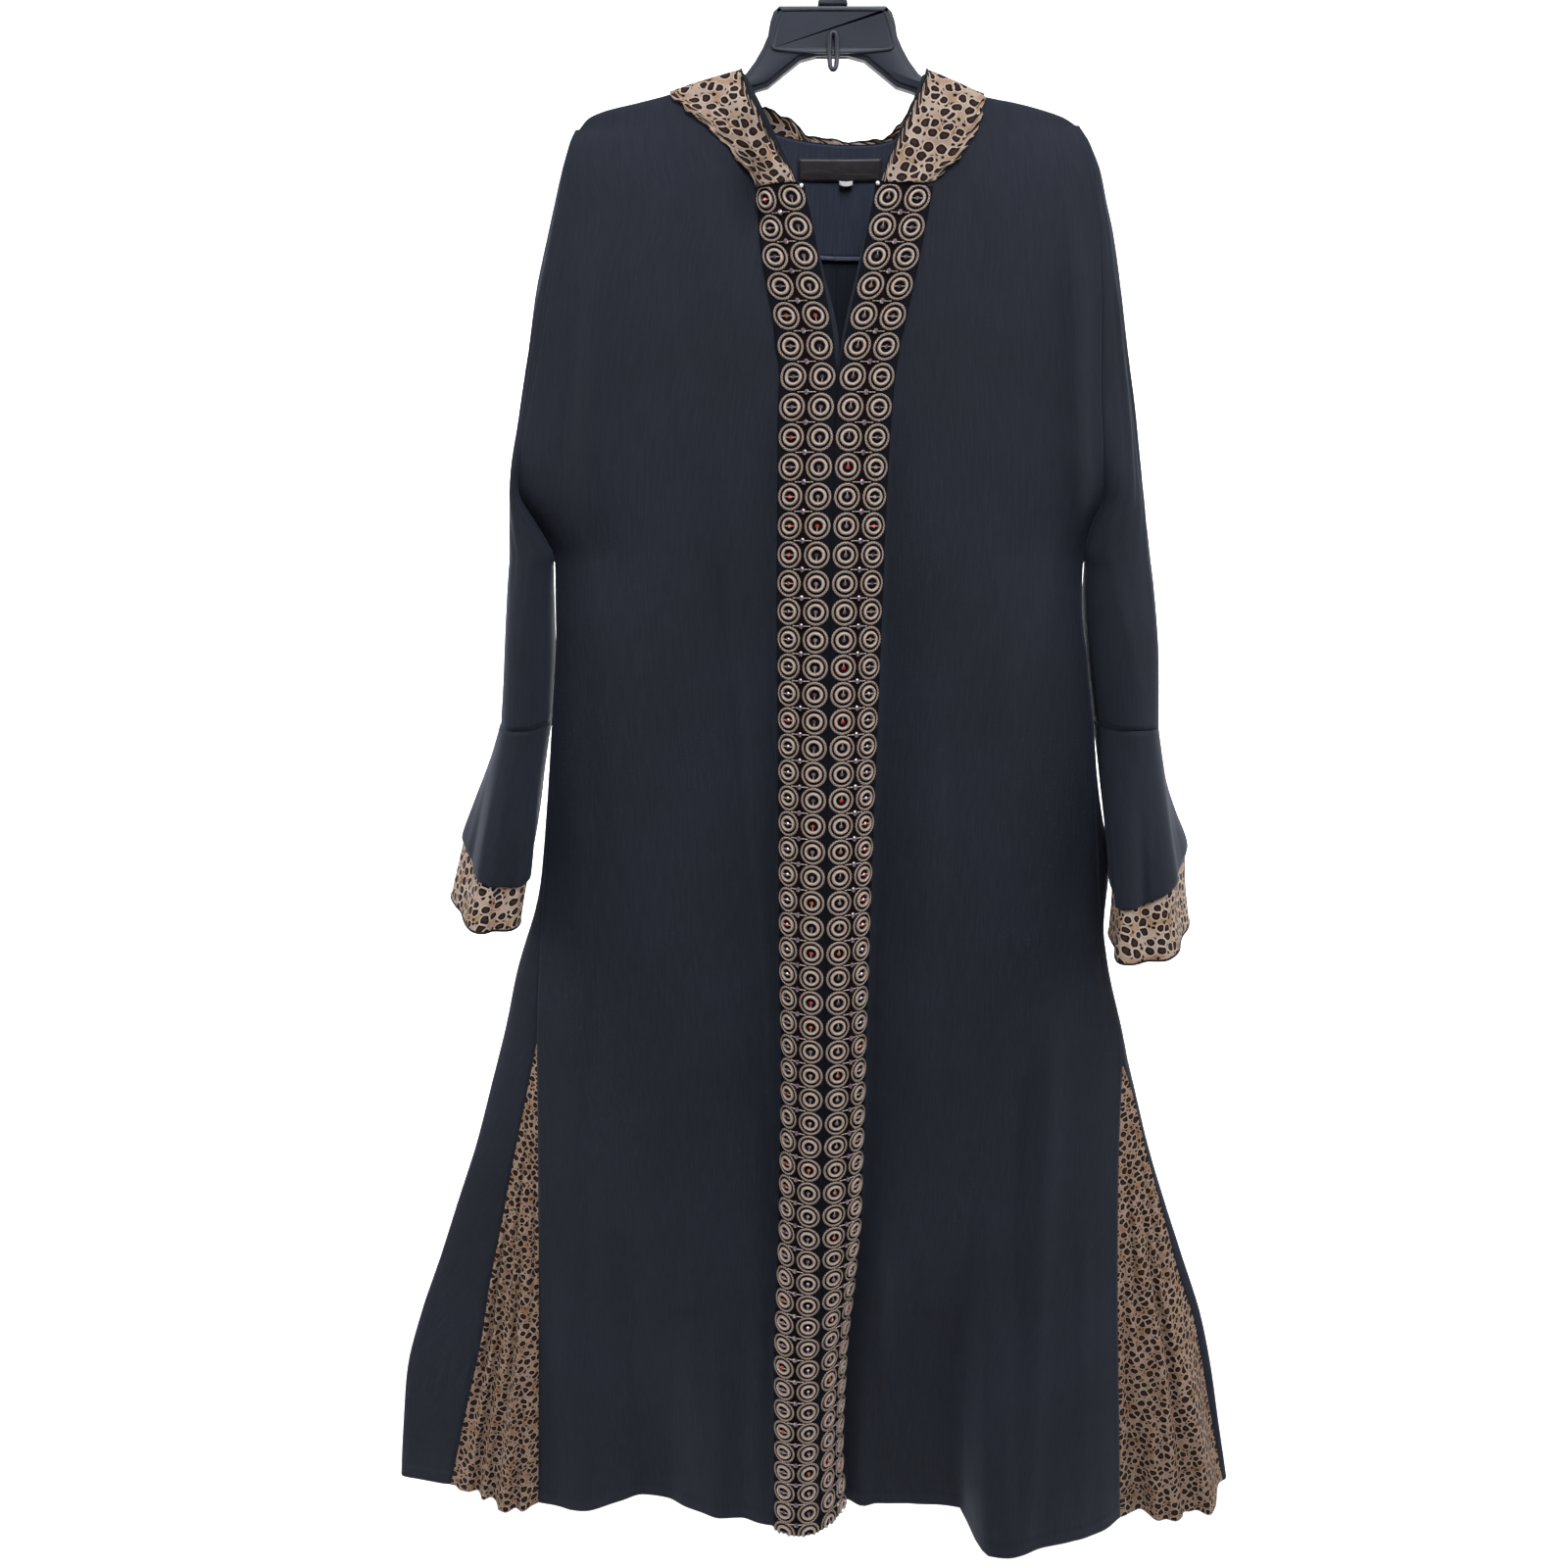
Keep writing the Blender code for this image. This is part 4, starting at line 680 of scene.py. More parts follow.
def heights_below(top_z, step):
    """Rows from a height to the hem, closer where the hem is turned."""
    turn = HEM_Z + 24.0
    even = np.linspace(top_z, turn, int((top_z - turn) / step))
    return np.concatenate([even, np.linspace(turn, HEM_Z, 11)[1:]])


def body_grid(side, point_at, columns, top):
    """Points of a body panel, rows from its neck and shoulder to its hem."""
    top_z = np.full(columns.shape, -150.0)
    for _ in range(60):
        top_z = blend(top_z, top.read("z", point_at(side, columns, top_z)[0]), 0.5)
    above = blend(top_z[None], UNDERARM_Z, armhole_shares()[:, None])
    below = heights_below(UNDERARM_Z, 6.6)[1:, None]
    z = np.concatenate([above, np.broadcast_to(below, (len(below), len(columns)))])
    x, y = point_at(side, np.broadcast_to(columns, z.shape), z)
    return np.stack([x, y, z], -1)


def front_grid(side, depth):
    cloth_shares = np.concatenate([np.linspace(0.0, 1.0, 58)[1:-1], [0.99, 1.0]])
    columns = np.concatenate([np.linspace(0.0, 1.0, 13), 1.0 + cloth_shares])

    def point_at(side, column, z):
        return front_column(side, column, z, depth)
    return body_grid(side, point_at, columns, FRONT_TOP[side])


def back_grid(side, depth):
    columns = np.concatenate([[0.0, 0.008, 0.016], np.linspace(0.03, 1.0, 56)])

    def point_at(side, share, z):
        return back_point(side, share, z, depth)
    return body_grid(side, point_at, columns, BACK_TOP[side])


def sleeve_grid(side, depth):
    """Points of a sleeve from its front edge round the outside to its back edge."""
    z = np.concatenate([
        blend(shoulder_tip(side), UNDERARM_Z, armhole_shares()),
        np.linspace(UNDERARM_Z, CUFF_SEAM_Z, 27)[1:],
    ])[:, None]
    around = np.linspace(-1.0, 1.0, 57)[None]
    share = (z - shoulder_tip(side)) / (UNDERARM_Z - shoulder_tip(side))
    closed = blend(UNDERARM_TURN, SLEEVE_TURN, smooth((UNDERARM_Z - z) / 60.0))
    turn = np.where(z >= UNDERARM_Z, armhole_turn(share), closed)
    inner = SLEEVE[side].read("inner_x", z)
    edge = np.where(around < 0, FRONT_EDGE[side].read("x", z), BACK_ARMHOLE[side].read("x", z))
    edge = np.where(z >= UNDERARM_Z, edge, inner)
    outer = SLEEVE[side].read("outer_x", z)
    half_depth = SLEEVE[side].read("depth", z)
    angle = turn * np.abs(around)
    wide = (outer - edge) / (1.0 - np.cos(turn))
    held = smooth((1.0 - np.abs(around)) * 6.0) * smooth((-z - 190.0) / 60.0)
    rise = crease_rise(SLEEVE_CREASES[side], around, z) * depth
    rise = (rise + 0.9 * drape(260.0 * around, z, 3.1 + side)) * held
    x = outer - wide + wide * np.cos(angle) + side * rise * np.cos(angle)
    y = np.sign(around) * (half_depth * np.sin(angle) + rise * np.sin(angle))
    return np.stack([x, y, np.broadcast_to(z, x.shape)], -1)


def cuff_grid(side, shares, inset_at, ripple_at):
    """Points of a cuff, rows from its seam to its hem, its last column on its first."""
    cuff = CUFFS[side]
    shares = shares[:, None]
    angle = np.linspace(0.0, 2 * np.pi, 141)[None, :-1]
    size = {name: cuff["bell"].read(name, shares) for name in cuff["bell"].names[1:]}
    outward, forward = np.cos(angle), np.sin(angle)
    wave = 1.0 + CUFF_WAVE * smooth(shares) * np.cos(cuff["waves"] * angle + cuff["phase"])
    wave = wave + ripple_at(shares) * (
        np.cos(11 * angle + 2.0 * cuff["phase"] + shares) + 0.7 * np.cos(17 * angle + cuff["phase"])
    )
    x = size["x"] + wave * (side * size["wide"] * outward + size["skew"] * forward)
    y = size["y"] - wave * size["deep"] * forward
    z = size["z"] + size["slope_out"] * outward + size["slope_front"] * forward
    along = np.stack([np.roll(x, -1, 1) - np.roll(x, 1, 1), np.roll(y, -1, 1) - np.roll(y, 1, 1)])
    along = along / np.linalg.norm(along, axis=0)
    inward = side * np.stack([along[1], -along[0]])
    inset = inset_at(shares)
    grid = np.stack([x + inward[0] * inset, y + inward[1] * inset, z], -1)
    return np.concatenate([grid, grid[:, :1]], 1)


def godet_grid(side):
    """Points of a godet, fluted by its fine folds, from its point down to the hem."""
    z = np.concatenate([
        [GODET_TOP_Z[side] - 4.0, GODET_TOP_Z[side] - 11.0],
        heights_below(GODET_TOP_Z[side] - GODET_START, 6.6),
    ])[:, None]
    share = np.linspace(0.0, 1.0, 45)[None]
    front_x, front_y = front_edge(side, z)
    back_x, back_y_ = back_seam(side, z)
    x = blend(front_x, back_x, share)
    y = blend(front_y, back_y_, share)
    weight = hem_share(z) * smooth((1.0 - share) * 6.0)
    y = blend(y, GODET_HEM[side].read("y", share), weight)
    held = smooth(share * 8.0) * smooth((1.0 - share) * 8.0)
    down = smooth((GODET_TOP_Z[side] - z) / 360.0)
    flutes = (
        2.6 * np.sin(26.0 * share + z / 95.0 + side)
        + 1.7 * np.sin(41.0 * share - z / 140.0)
        + 1.0 * np.sin(15.0 * share + z / 60.0)
    )
    return np.stack([x, y + flutes * held * down, np.broadcast_to(z, x.shape)], -1)


def crest_normal(face, x, z):
    """Direction out of the cloth near a shoulder's crest."""
    drop = np.maximum(0.0, SHOULDER_CREST.read("z", x) - z)
    over = np.arccos(1.0 - np.minimum(drop, SHOULDER_ROLL) / SHOULDER_ROLL)
    slope = 0.25 * np.sign(x)
    return np.stack([slope * np.cos(over), face * np.sin(over), 0.97 * np.cos(over)], -1)


def collar_grid(edges, surface_y, face, start):
    """Points of a collar piece on the cloth under it, rumpled and a little puffed."""
    rows = Table("row inner_x inner_z outer_x outer_z", *[(i, *edge) for i, edge in enumerate(edges)])
    row = np.linspace(0, len(edges) - 1, 6 * (len(edges) - 1) + 1)[:, None]
    share = np.linspace(0.0, 1.0, 25)[None]
    x = blend(rows.read("inner_x", row), rows.read("outer_x", row), share)
    z = blend(rows.read("inner_z", row), rows.read("outer_z", row), share)
    frill = smooth((share - 0.86) / 0.14) + smooth((0.10 - share) / 0.10)
    z = z + 1.1 * frill * np.sin(row * 4.3 + start) + 0.6 * frill * np.sin(row * 9.1 + start)
    z = np.minimum(z, SHOULDER_CREST.read("z", x))
    away = smooth(np.minimum(row, len(edges) - 1 - row if face > 0 else row) / 4.0)
    puff = 1.3 * np.sin(np.pi * share) + 0.7 * np.sin(9.0 * share + 1.6 * row + start)
    puff = puff + 0.5 * np.sin(19.0 * share - 2.3 * row) + 0.5 * frill * np.sin(row * 6.1)
    lift = COLLAR_LIFT + np.maximum(-1.0, puff) * away
    point = np.stack([x, surface_y(x, z), z], -1)
    return point + crest_normal(face, x, z) * lift[..., None]


# Meshes

def arc_lengths(grid, axis):
    """Distance along a grid's rows or columns, in metres."""
    steps = np.linalg.norm(np.diff(grid, axis=axis), axis=-1) * MM
    first = np.zeros_like(np.take(steps, [0], axis))
    return np.concatenate([first, np.cumsum(steps, axis)], axis)


def own_mesh(name, points, faces, uvs=None):
    """Object with a mesh of points in millimetres, and a UV place for each corner."""
    mesh = bpy.data.meshes.new(name)
    mesh.from_pydata((np.asarray(points, float) * MM).tolist(), [], faces)
    if uvs is not None:
        layer = mesh.uv_layers.new(name="UVMap")
        layer.data.foreach_set("uv", np.asarray(uvs, np.float32).ravel())
    mesh.validate()
    piece = bpy.data.objects.new(name, mesh)
    bpy.context.scene.collection.objects.link(piece)
    return piece


def select_only(piece):
    """Select one piece and make it the active one."""
    bpy.ops.object.select_all(action="DESELECT")
    piece.select_set(True)
    bpy.context.view_layer.objects.active = piece


def face_out(piece, direction):
    """Turn a sheet's faces so that most of them look a given way."""
    mesh = piece.data
    looks = sum((face.normal * face.area for face in mesh.polygons), Vector())
    if looks.dot(Vector(direction)) < 0:
        mesh.flip_normals()


def cloth_piece(name, grid, wall, material, outward, middle_column=0, close_from=None):
    """Sheet of cloth on a grid of points, its UV map the cloth laid flat, in metres."""
    rows, columns = grid.shape[:2]
    across = arc_lengths(grid, 1)
    across = across - across[:, middle_column, None]
    flat = np.stack([across, -arc_lengths(grid, 0)], -1).reshape(-1, 2)
    index = np.arange(rows * columns).reshape(rows, columns)
    quads = np.stack([index[:-1, :-1], index[:-1, 1:], index[1:, 1:], index[1:, :-1]], -1)
    quads = quads.reshape(-1, 4)
    uvs = flat[quads]
    if close_from is not None:
        last, first = index[close_from:, -1], index[close_from:, 0]
        strip = np.stack([last[:-1], first[:-1], first[1:], last[1:]], -1)
        gap = np.linalg.norm(grid[close_from:, -1] - grid[close_from:, 0], axis=-1) * MM
        beyond = flat[last] + np.stack([gap, np.zeros_like(gap)], -1)
        strip_uvs = np.stack([flat[last][:-1], beyond[:-1], beyond[1:], flat[last][1:]], 1)
        quads, uvs = np.concatenate([quads, strip]), np.concatenate([uvs, strip_uvs])
    piece = own_mesh(name, grid.reshape(-1, 3), quads.tolist(), uvs)
    mesh = piece.data
    if np.allclose(grid[:, 0], grid[:, -1]):
        work = bmesh.new()
        work.from_mesh(mesh)
        bmesh.ops.remove_doubles(work, verts=work.verts, dist=1e-6)
        work.to_mesh(mesh)
        work.free()
    if outward:
        face_out(piece, outward)
    else:
        face_out_round(piece)
    mesh.shade_smooth()
    mesh.materials.append(material)
    solid = piece.modifiers.new("wall", "SOLIDIFY")
    solid.thickness = wall * MM
    solid.offset = 0.0
    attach(piece, "root")
    return piece


def face_out_round(piece):
    """Turn a tube's faces away from its middle line."""
    mesh = piece.data
    centre = sum((vertex.co for vertex in mesh.vertices), Vector()) / len(mesh.vertices)
    looks = 0.0
    for face in mesh.polygons:
        away = face.center - centre
        looks += face.area * (face.normal.x * away.x + face.normal.y * away.y)
    if looks < 0:
        mesh.flip_normals()


def cut_size(grid):
    """Width and length that a sheet is cut to, and its flat area, in metres."""
    width = float(arc_lengths(grid, 1)[:, -1].max())
    length = float(arc_lengths(grid, 0)[-1].max())
    down = np.diff(grid, axis=0)[:, :-1] * MM
    across = np.diff(grid, axis=1)[:-1] * MM
    area = float(np.linalg.norm(np.cross(down, across), axis=-1).sum())
    return width, length, area


def declare(piece, grid, nodes=None):
    """Print the size a sheet was cut to, and hide the nodes it stands for."""
    width, length, area = cut_size(grid)
    print(f"cut {piece.name} {width:.3f} x {length:.3f} m, {area:.4f} m2")
    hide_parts(*(nodes or [piece.name]))
    return piece


def tube(name, line, radius, material, closed=False, sides=6, flatten=1.0):
    """Thread or wire along a line of points in millimetres."""
    line = np.asarray(line, float)
    count = len(line)
    if closed:
        ahead, behind = np.roll(line, -1, 0), np.roll(line, 1, 0)
    else:
        ahead, behind = np.vstack([line[1:], line[-1:]]), np.vstack([line[:1], line[:-1]])
    along = ahead - behind
    along /= np.linalg.norm(along, axis=1, keepdims=True)
    up = np.where(np.abs(along[:, 2:]) > 0.9, [[1.0, 0.0, 0.0]], [[0.0, 0.0, 1.0]])
    if np.abs(along[:, 2]).max() > 0.9 and np.abs(along[:, 0]).max() < 0.9:
        up = np.tile([[1.0, 0.0, 0.0]], (count, 1))
    elif np.abs(along[:, 1]).max() < 0.9:
        up = np.tile([[0.0, 1.0, 0.0]], (count, 1))
    side = np.cross(along, up)
    side /= np.linalg.norm(side, axis=1, keepdims=True)
    over = np.cross(side, along)
    angle = np.linspace(0.0, 2 * np.pi, sides, endpoint=False)
    points = (
        line[:, None]
        + radius * np.cos(angle)[None, :, None] * side[:, None]
        + radius * flatten * np.sin(angle)[None, :, None] * over[:, None]
    )
    length = np.concatenate([[0.0], np.cumsum(np.linalg.norm(np.diff(line, axis=0), axis=1))]) * MM
    faces, uvs = [], []
    for r in range(count if closed else count - 1):
        after = (r + 1) % count
        end = length[after] if after else length[-1] + radius * MM
        for c in range(sides):
            d = (c + 1) % sides
            faces.append((r * sides + c, r * sides + d, after * sides + d, after * sides + c))
            around = (c / sides, (c + 1) / sides)
            uvs += [(length[r], around[0]), (length[r], around[1]), (end, around[1]), (end, around[0])]
    if not closed:
        faces += [tuple(range(sides)), tuple(range((count - 1) * sides, count * sides))[::-1]]
        uvs += [(0.0, c / sides) for c in range(sides)] + [(length[-1], c / sides) for c in range(sides)]
    piece = own_mesh(name, points.reshape(-1, 3), faces, uvs)
    outward_faces(piece)
    piece.data.shade_smooth()
    finish_piece(piece, material)
    return piece


def finish_piece(piece, material):
    """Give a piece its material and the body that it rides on."""
    piece.data.materials.append(material)
    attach(piece, "root")


def outward_faces(piece):
    """Close a mesh where it was cut, and point its faces outwards."""
    work = bmesh.new()
    work.from_mesh(piece.data)
    bmesh.ops.delete(work, geom=[p for p in work.verts if not p.link_faces], context="VERTS")
    bmesh.ops.holes_fill(work, edges=[edge for edge in work.edges if edge.is_boundary])
    bmesh.ops.recalc_face_normals(work, faces=work.faces)
    work.to_mesh(piece.data)
    work.free()


# Materials

def node(tree, kind, inputs=None, stops=None, **fields):
    """Add a shader node, set its fields, inputs and ramp stops, and link what feeds it."""
    made = tree.nodes.new("ShaderNode" + kind)
    for name, value in fields.items():
        setattr(made, name, value)
    for place, value in (inputs or {}).items():
        if isinstance(value, bpy.types.NodeSocket):
            tree.links.new(value, made.inputs[place])
        else:
            made.inputs[place].default_value = value
    if stops:
        ramp = made.color_ramp
        while len(ramp.elements) < len(stops):
            ramp.elements.new(1.0)
        for element, (place, colour) in zip(ramp.elements, stops):
            element.position = place
            element.color = colour
    return made


def new_material(name):
    """Material with a bare shader, its node tree and that shader."""
    found = bpy.data.materials.get(name)
    if found:
        bpy.data.materials.remove(found)
    material = bpy.data.materials.new(name)
    material.use_nodes = True
    return material, material.node_tree, material.node_tree.nodes["Principled BSDF"]


def set_shader(shader, **values):
    """Set a shader's sockets by their names in lower case, and link those that a node feeds."""
    sockets = {socket.name.lower().replace(" ", "_"): socket for socket in shader.inputs}
    for name, value in values.items():
        if isinstance(value, bpy.types.NodeSocket):
            shader.id_data.links.new(value, sockets[name])
        else:
            sockets[name].default_value = value


def dimmed(colour, share):
    """A colour at a share of its brightness, opaque."""
    return tuple(share * c for c in colour[:3]) + (1.0,)


def woven_crepe(name, colour_code, shade_code):
    """Matt polyester crepe: overtwisted yarns give a fine pebbled grain with no shine, a
    faint cool bloom on turned surfaces, and long soft streaks down the warp."""
    material, tree, shader = new_material(name)
    place = node(tree, "TexCoord").outputs["UV"]
    # The yarns lie 0.4 mm apart, and are drawn 1.4 mm apart so that they show
    grain = node(tree, "TexNoise", {"Vector": place, "Scale": 1 / 0.0014, "Detail": 3.0})
    warp = node(tree, "Mapping", {"Vector": place, "Scale": (1 / 0.0022, 1 / 0.030, 1.0)})
    streak = node(tree, "TexNoise", {"Vector": warp.outputs[0], "Scale": 1.0, "Detail": 2.0})
    slow = node(tree, "TexNoise", {"Vector": place, "Scale": 7.0, "Detail": 2.0})
    base = node(tree, "ValToRGB", {0: slow.outputs[0]}, stops=[
        (0.30, tuple(shade_code)), (0.72, tuple(colour_code))])
    fleck = node(tree, "ValToRGB", {0: streak.outputs[0]}, stops=[
        (0.35, linear("#e2e3e7")), (0.65, linear("#ffffff"))])
    colour = node(tree, "Mix", {0: 1.0, 6: base.outputs[0], 7: fleck.outputs[0]},
                  data_type="RGBA", blend_type="MULTIPLY")
    height = node(tree, "Math", {0: grain.outputs[0], 1: streak.outputs[0]}, operation="ADD")
    bump = node(tree, "Bump", {"Height": height.outputs[0], "Strength": 0.35, "Distance": 0.00035})
    set_shader(shader, base_color=colour.outputs[2], normal=bump.outputs[0], roughness=0.82,
               specular_ior_level=0.24, sheen_weight=0.12, sheen_roughness=0.5,
               sheen_tint=linear("#8f9bb8"))
    return material


def printed_chiffon(name, settings, spacing, dimming, slant=0.0):
    """Thin polyester chiffon printed with animal spots: a neutral sandy ground with tan
    patches, and close dark brown spots with a paler rim and a lighter middle. What lies
    behind the sheer cloth dims it."""
    material, tree, shader = new_material(name)
    place = node(tree, "TexCoord").outputs["UV"]
    stir = node(tree, "TexNoise", {"Vector": place, "Scale": 120.0, "Detail": 1.0})
    moved = node(tree, "MixRGB", {0: 0.0032, 1: place, 2: stir.outputs["Color"]}, blend_type="ADD")
    spots_at = node(tree, "Mapping", {"Vector": moved.outputs[0], "Scale": (0.9, 1.0, 1.0),
                                      "Rotation": (0.0, 0.0, slant)})
    cells = 1.0 / (spacing * MM)
    spot = node(tree, "TexVoronoi", {"Vector": spots_at.outputs[0], "Scale": cells,
                                     "Randomness": 0.72}, voronoi_dimensions="2D")
    border = node(tree, "TexVoronoi", {"Vector": spots_at.outputs[0], "Scale": cells,
                                       "Randomness": 0.72}, voronoi_dimensions="2D",
                  feature="DISTANCE_TO_EDGE")
    size = node(tree, "SeparateColor", {0: spot.outputs["Color"]})
    radius = node(tree, "MapRange", {0: size.outputs[0], 3: 0.31, 4: 0.46})
    round_part = node(tree, "Math", {0: radius.outputs[0], 1: spot.outputs["Distance"]},
                      operation="SUBTRACT")
    clear_part = node(tree, "Math", {0: border.outputs["Distance"], 1: 0.070},
                      operation="SUBTRACT")
    within = node(tree, "Math", {0: round_part.outputs[0], 1: clear_part.outputs[0]},
                  operation="MINIMUM")
    body = node(tree, "MapRange", {0: within.outputs[0], 1: -0.012, 2: 0.03})
    rim = node(tree, "MapRange", {0: within.outputs[0], 1: -0.10, 2: -0.02})
    middle = node(tree, "MapRange", {0: within.outputs[0], 1: 0.07, 2: 0.26})
    small = node(tree, "TexVoronoi", {"Vector": spots_at.outputs[0], "Scale": cells * 1.8,
                                      "Randomness": 0.9}, voronoi_dimensions="2D")
    between = node(tree, "Math", {0: within.outputs[0], 1: -0.13}, operation="LESS_THAN")
    dot = node(tree, "Math", {0: small.outputs["Distance"], 1: 0.27}, operation="LESS_THAN")
    dots = node(tree, "Math", {0: between.outputs[0], 1: dot.outputs[0]}, operation="MULTIPLY")
    dark = node(tree, "Math", {0: body.outputs[0], 1: dots.outputs[0]}, operation="MAXIMUM")
    patches = node(tree, "TexNoise", {"Vector": place, "Scale": 48.0, "Detail": 2.0})
    ground = node(tree, "ValToRGB", {0: patches.outputs[0]}, stops=[
        (0.42, tuple(settings.print_ground)), (0.66, tuple(settings.print_blotch))])
    pale = node(tree, "Mix", {0: rim.outputs[0], 6: ground.outputs[0],
                              7: tuple(settings.print_halo)}, data_type="RGBA")
    inside = node(tree, "Mix", {0: middle.outputs[0], 6: tuple(settings.print_spot),
                                7: tuple(settings.print_middle)}, data_type="RGBA")
    printed = node(tree, "Mix", {0: dark.outputs[0], 6: pale.outputs[2], 7: inside.outputs[2]},
                   data_type="RGBA")
    colour = node(tree, "Mix", {0: 1.0, 6: printed.outputs[2], 7: linear(dimming)},
                  data_type="RGBA", blend_type="MULTIPLY")
    # The weave's 0.25 mm mesh is drawn as 1 mm grain so that it shows
    grain = node(tree, "TexNoise", {"Vector": place, "Scale": 1 / 0.001, "Detail": 2.0})
    bump = node(tree, "Bump", {"Height": grain.outputs[0], "Strength": 0.3, "Distance": 0.0003})
    set_shader(shader, base_color=colour.outputs[2], normal=bump.outputs[0], roughness=0.85,
               specular_ior_level=0.12)
    return material


def corded_thread(settings):
    """Two cords of viscose embroidery thread, crossing each other round the ring: light where a
    cord stands up, with painted shade down its sides, and dark eyes between the cords and
    notches beside them, partly the dark net in the gaps and partly painted shade."""
    material, tree, shader = new_material("corded_thread")
    place = node(tree, "SeparateXYZ", {0: node(tree, "TexCoord").outputs["UV"]})
    turns = node(tree, "Math", {0: place.outputs[0], 1: 2 * math.pi * CORD_CROSSINGS},
                 operation="MULTIPLY")
    wave = node(tree, "Math", {0: turns.outputs[0]}, operation="SINE")
    swing = node(tree, "Math", {0: wave.outputs[0], 1: 0.29}, operation="MULTIPLY")
    across = node(tree, "Math", {0: place.outputs[1], 1: 1.5, 2: -0.5}, operation="MULTIPLY_ADD")
    away = []
    for operation in ("SUBTRACT", "ADD"):
        off = node(tree, "Math", {0: across.outputs[0], 1: swing.outputs[0]}, operation=operation)
        away.append(node(tree, "Math", {0: off.outputs[0]}, operation="ABSOLUTE").outputs[0])
    near = node(tree, "Math", {0: away[0], 1: away[1]}, operation="MINIMUM")
    # Painted shade: the thread's colour on each cord's crest, darkening down its sides into the gaps,
    # where the dark net also shows.
    shade = node(tree, "ValToRGB", {0: near.outputs[0]}, stops=[
        (0.09, tuple(settings.thread_light)), (0.19, tuple(settings.thread_gaps_and_shade))])
    bump = node(tree, "Bump", {"Height": near.outputs[0], "Strength": 0.9, "Distance": 0.0012},
                invert=True)
    set_shader(shader, base_color=shade.outputs[0], normal=bump.outputs[0], roughness=0.45,
               specular_ior_level=0.3, sheen_weight=0.05)
    return material


def satin_stitch(settings):
    """Satin stitch in viscose thread: long floats side by side make a smooth bright band
    that shines across the stitches, with only faint lines of painted shade between them."""
    material, tree, shader = new_material("satin_stitch")
    place = node(tree, "TexCoord").outputs["UV"]
    # The stitches lie 0.4 mm apart round the ring, and are drawn twice as wide
    lines_at = node(tree, "Mapping", {"Vector": place, "Scale": (26.0, 1.2, 1.0)})
    lines = node(tree, "TexNoise", {"Vector": lines_at.outputs[0], "Scale": 2.0, "Detail": 1.0})
    # Painted shade: the thread dims to a darker tone in the low lines between the stitches.
    shade = node(tree, "ValToRGB", {0: lines.outputs[0]}, stops=[
        (0.2, dimmed(settings.thread_light, 0.62)),
        (0.55, tuple(settings.thread_light))])
    bump = node(tree, "Bump", {"Height": lines.outputs[0], "Strength": 0.35, "Distance": 0.0003})
    set_shader(shader, base_color=shade.outputs[0], normal=bump.outputs[0], roughness=0.36,
               specular_ior_level=0.5, sheen_weight=0.1)
    return material


def embroidered_net():
    """Dark tulle under the rings: an open grid of fine thread, deep maroon down the middle
    of the strip and charcoal at its edges."""
    material, tree, shader = new_material("embroidered_net")
    place = node(tree, "TexCoord").outputs["UV"]
    parts = node(tree, "SeparateXYZ", {0: place})
    off = node(tree, "Math", {0: parts.outputs[0], 1: STRIP_WIDTH / 2 * MM}, operation="SUBTRACT")
    away = node(tree, "Math", {0: off.outputs[0]}, operation="ABSOLUTE")
    shade = node(tree, "ValToRGB", {0: node(tree, "Math", {0: away.outputs[0], 1: 40.0},
                                            operation="MULTIPLY").outputs[0]}, stops=[
        (0.18, linear("#120809")), (0.55, linear("#101116"))])
    # The net's 0.8 mm holes are drawn 1.6 mm apart so that they show
    mesh_at = node(tree, "Mapping", {"Vector": place, "Rotation": (0.0, 0.0, math.radians(45))})
    holes = node(tree, "TexVoronoi", {"Vector": mesh_at.outputs[0], "Scale": 1 / 0.0016,
                                      "Randomness": 0.15})
    bump = node(tree, "Bump", {"Height": holes.outputs["Distance"], "Strength": 0.5,
                               "Distance": 0.0004})
    set_shader(shader, base_color=shade.outputs[0], normal=bump.outputs[0], roughness=0.9,
               specular_ior_level=0.08)
    return material


def cut_stone():
    """Faceted acrylic stones with a foiled back: dark mauve and rose brown, and a few red and
    amber ones whose colour is painted bright all over as a painted flash of light."""
    material, tree, shader = new_material("cut_acrylic_stone")
    tint = node(tree, "Attribute", attribute_name="tint").outputs["Fac"]
    # The last two stops are red and amber stones painted bright: a painted glint on every facet alike.
    colour = node(tree, "ValToRGB", {0: tint}, stops=[
        (0.0, linear("#463236")), (0.45, linear("#7d6a75")), (0.8, linear("#94807c")),
        (0.88, linear("#b4582c")), (0.95, linear("#bb322e"))])
    set_shader(shader, base_color=colour.outputs[0], roughness=0.12, specular_ior_level=0.7,
               metallic=0.35, coat_weight=1.0, coat_roughness=0.05)
    return material


def plain_thread(name, code, roughness=0.6):
    """Spun polyester sewing thread: dull, with the fine ribs of its twist and painted shade in the
    grooves between them.
    """
    material, tree, shader = new_material(name)
    place = node(tree, "TexCoord").outputs["UV"]
    ribs = node(tree, "TexWave", {"Vector": place, "Scale": 1 / 0.0022, "Distortion": 0.6,
                                  "Detail": 1.0}, bands_direction="DIAGONAL")
    # Painted shade: the thread darkens to under half its colour in the grooves of its twist.
    tone = node(tree, "ValToRGB", {0: ribs.outputs["Fac"]}, stops=[
        (0.1, dimmed(linear(code), 0.45)), (0.7, linear(code))])
    bump = node(tree, "Bump", {"Height": ribs.outputs["Fac"], "Strength": 0.7, "Distance": 0.0004})
    set_shader(shader, base_color=tone.outputs[0], normal=bump.outputs[0], roughness=roughness,
               specular_ior_level=0.3)
    return material


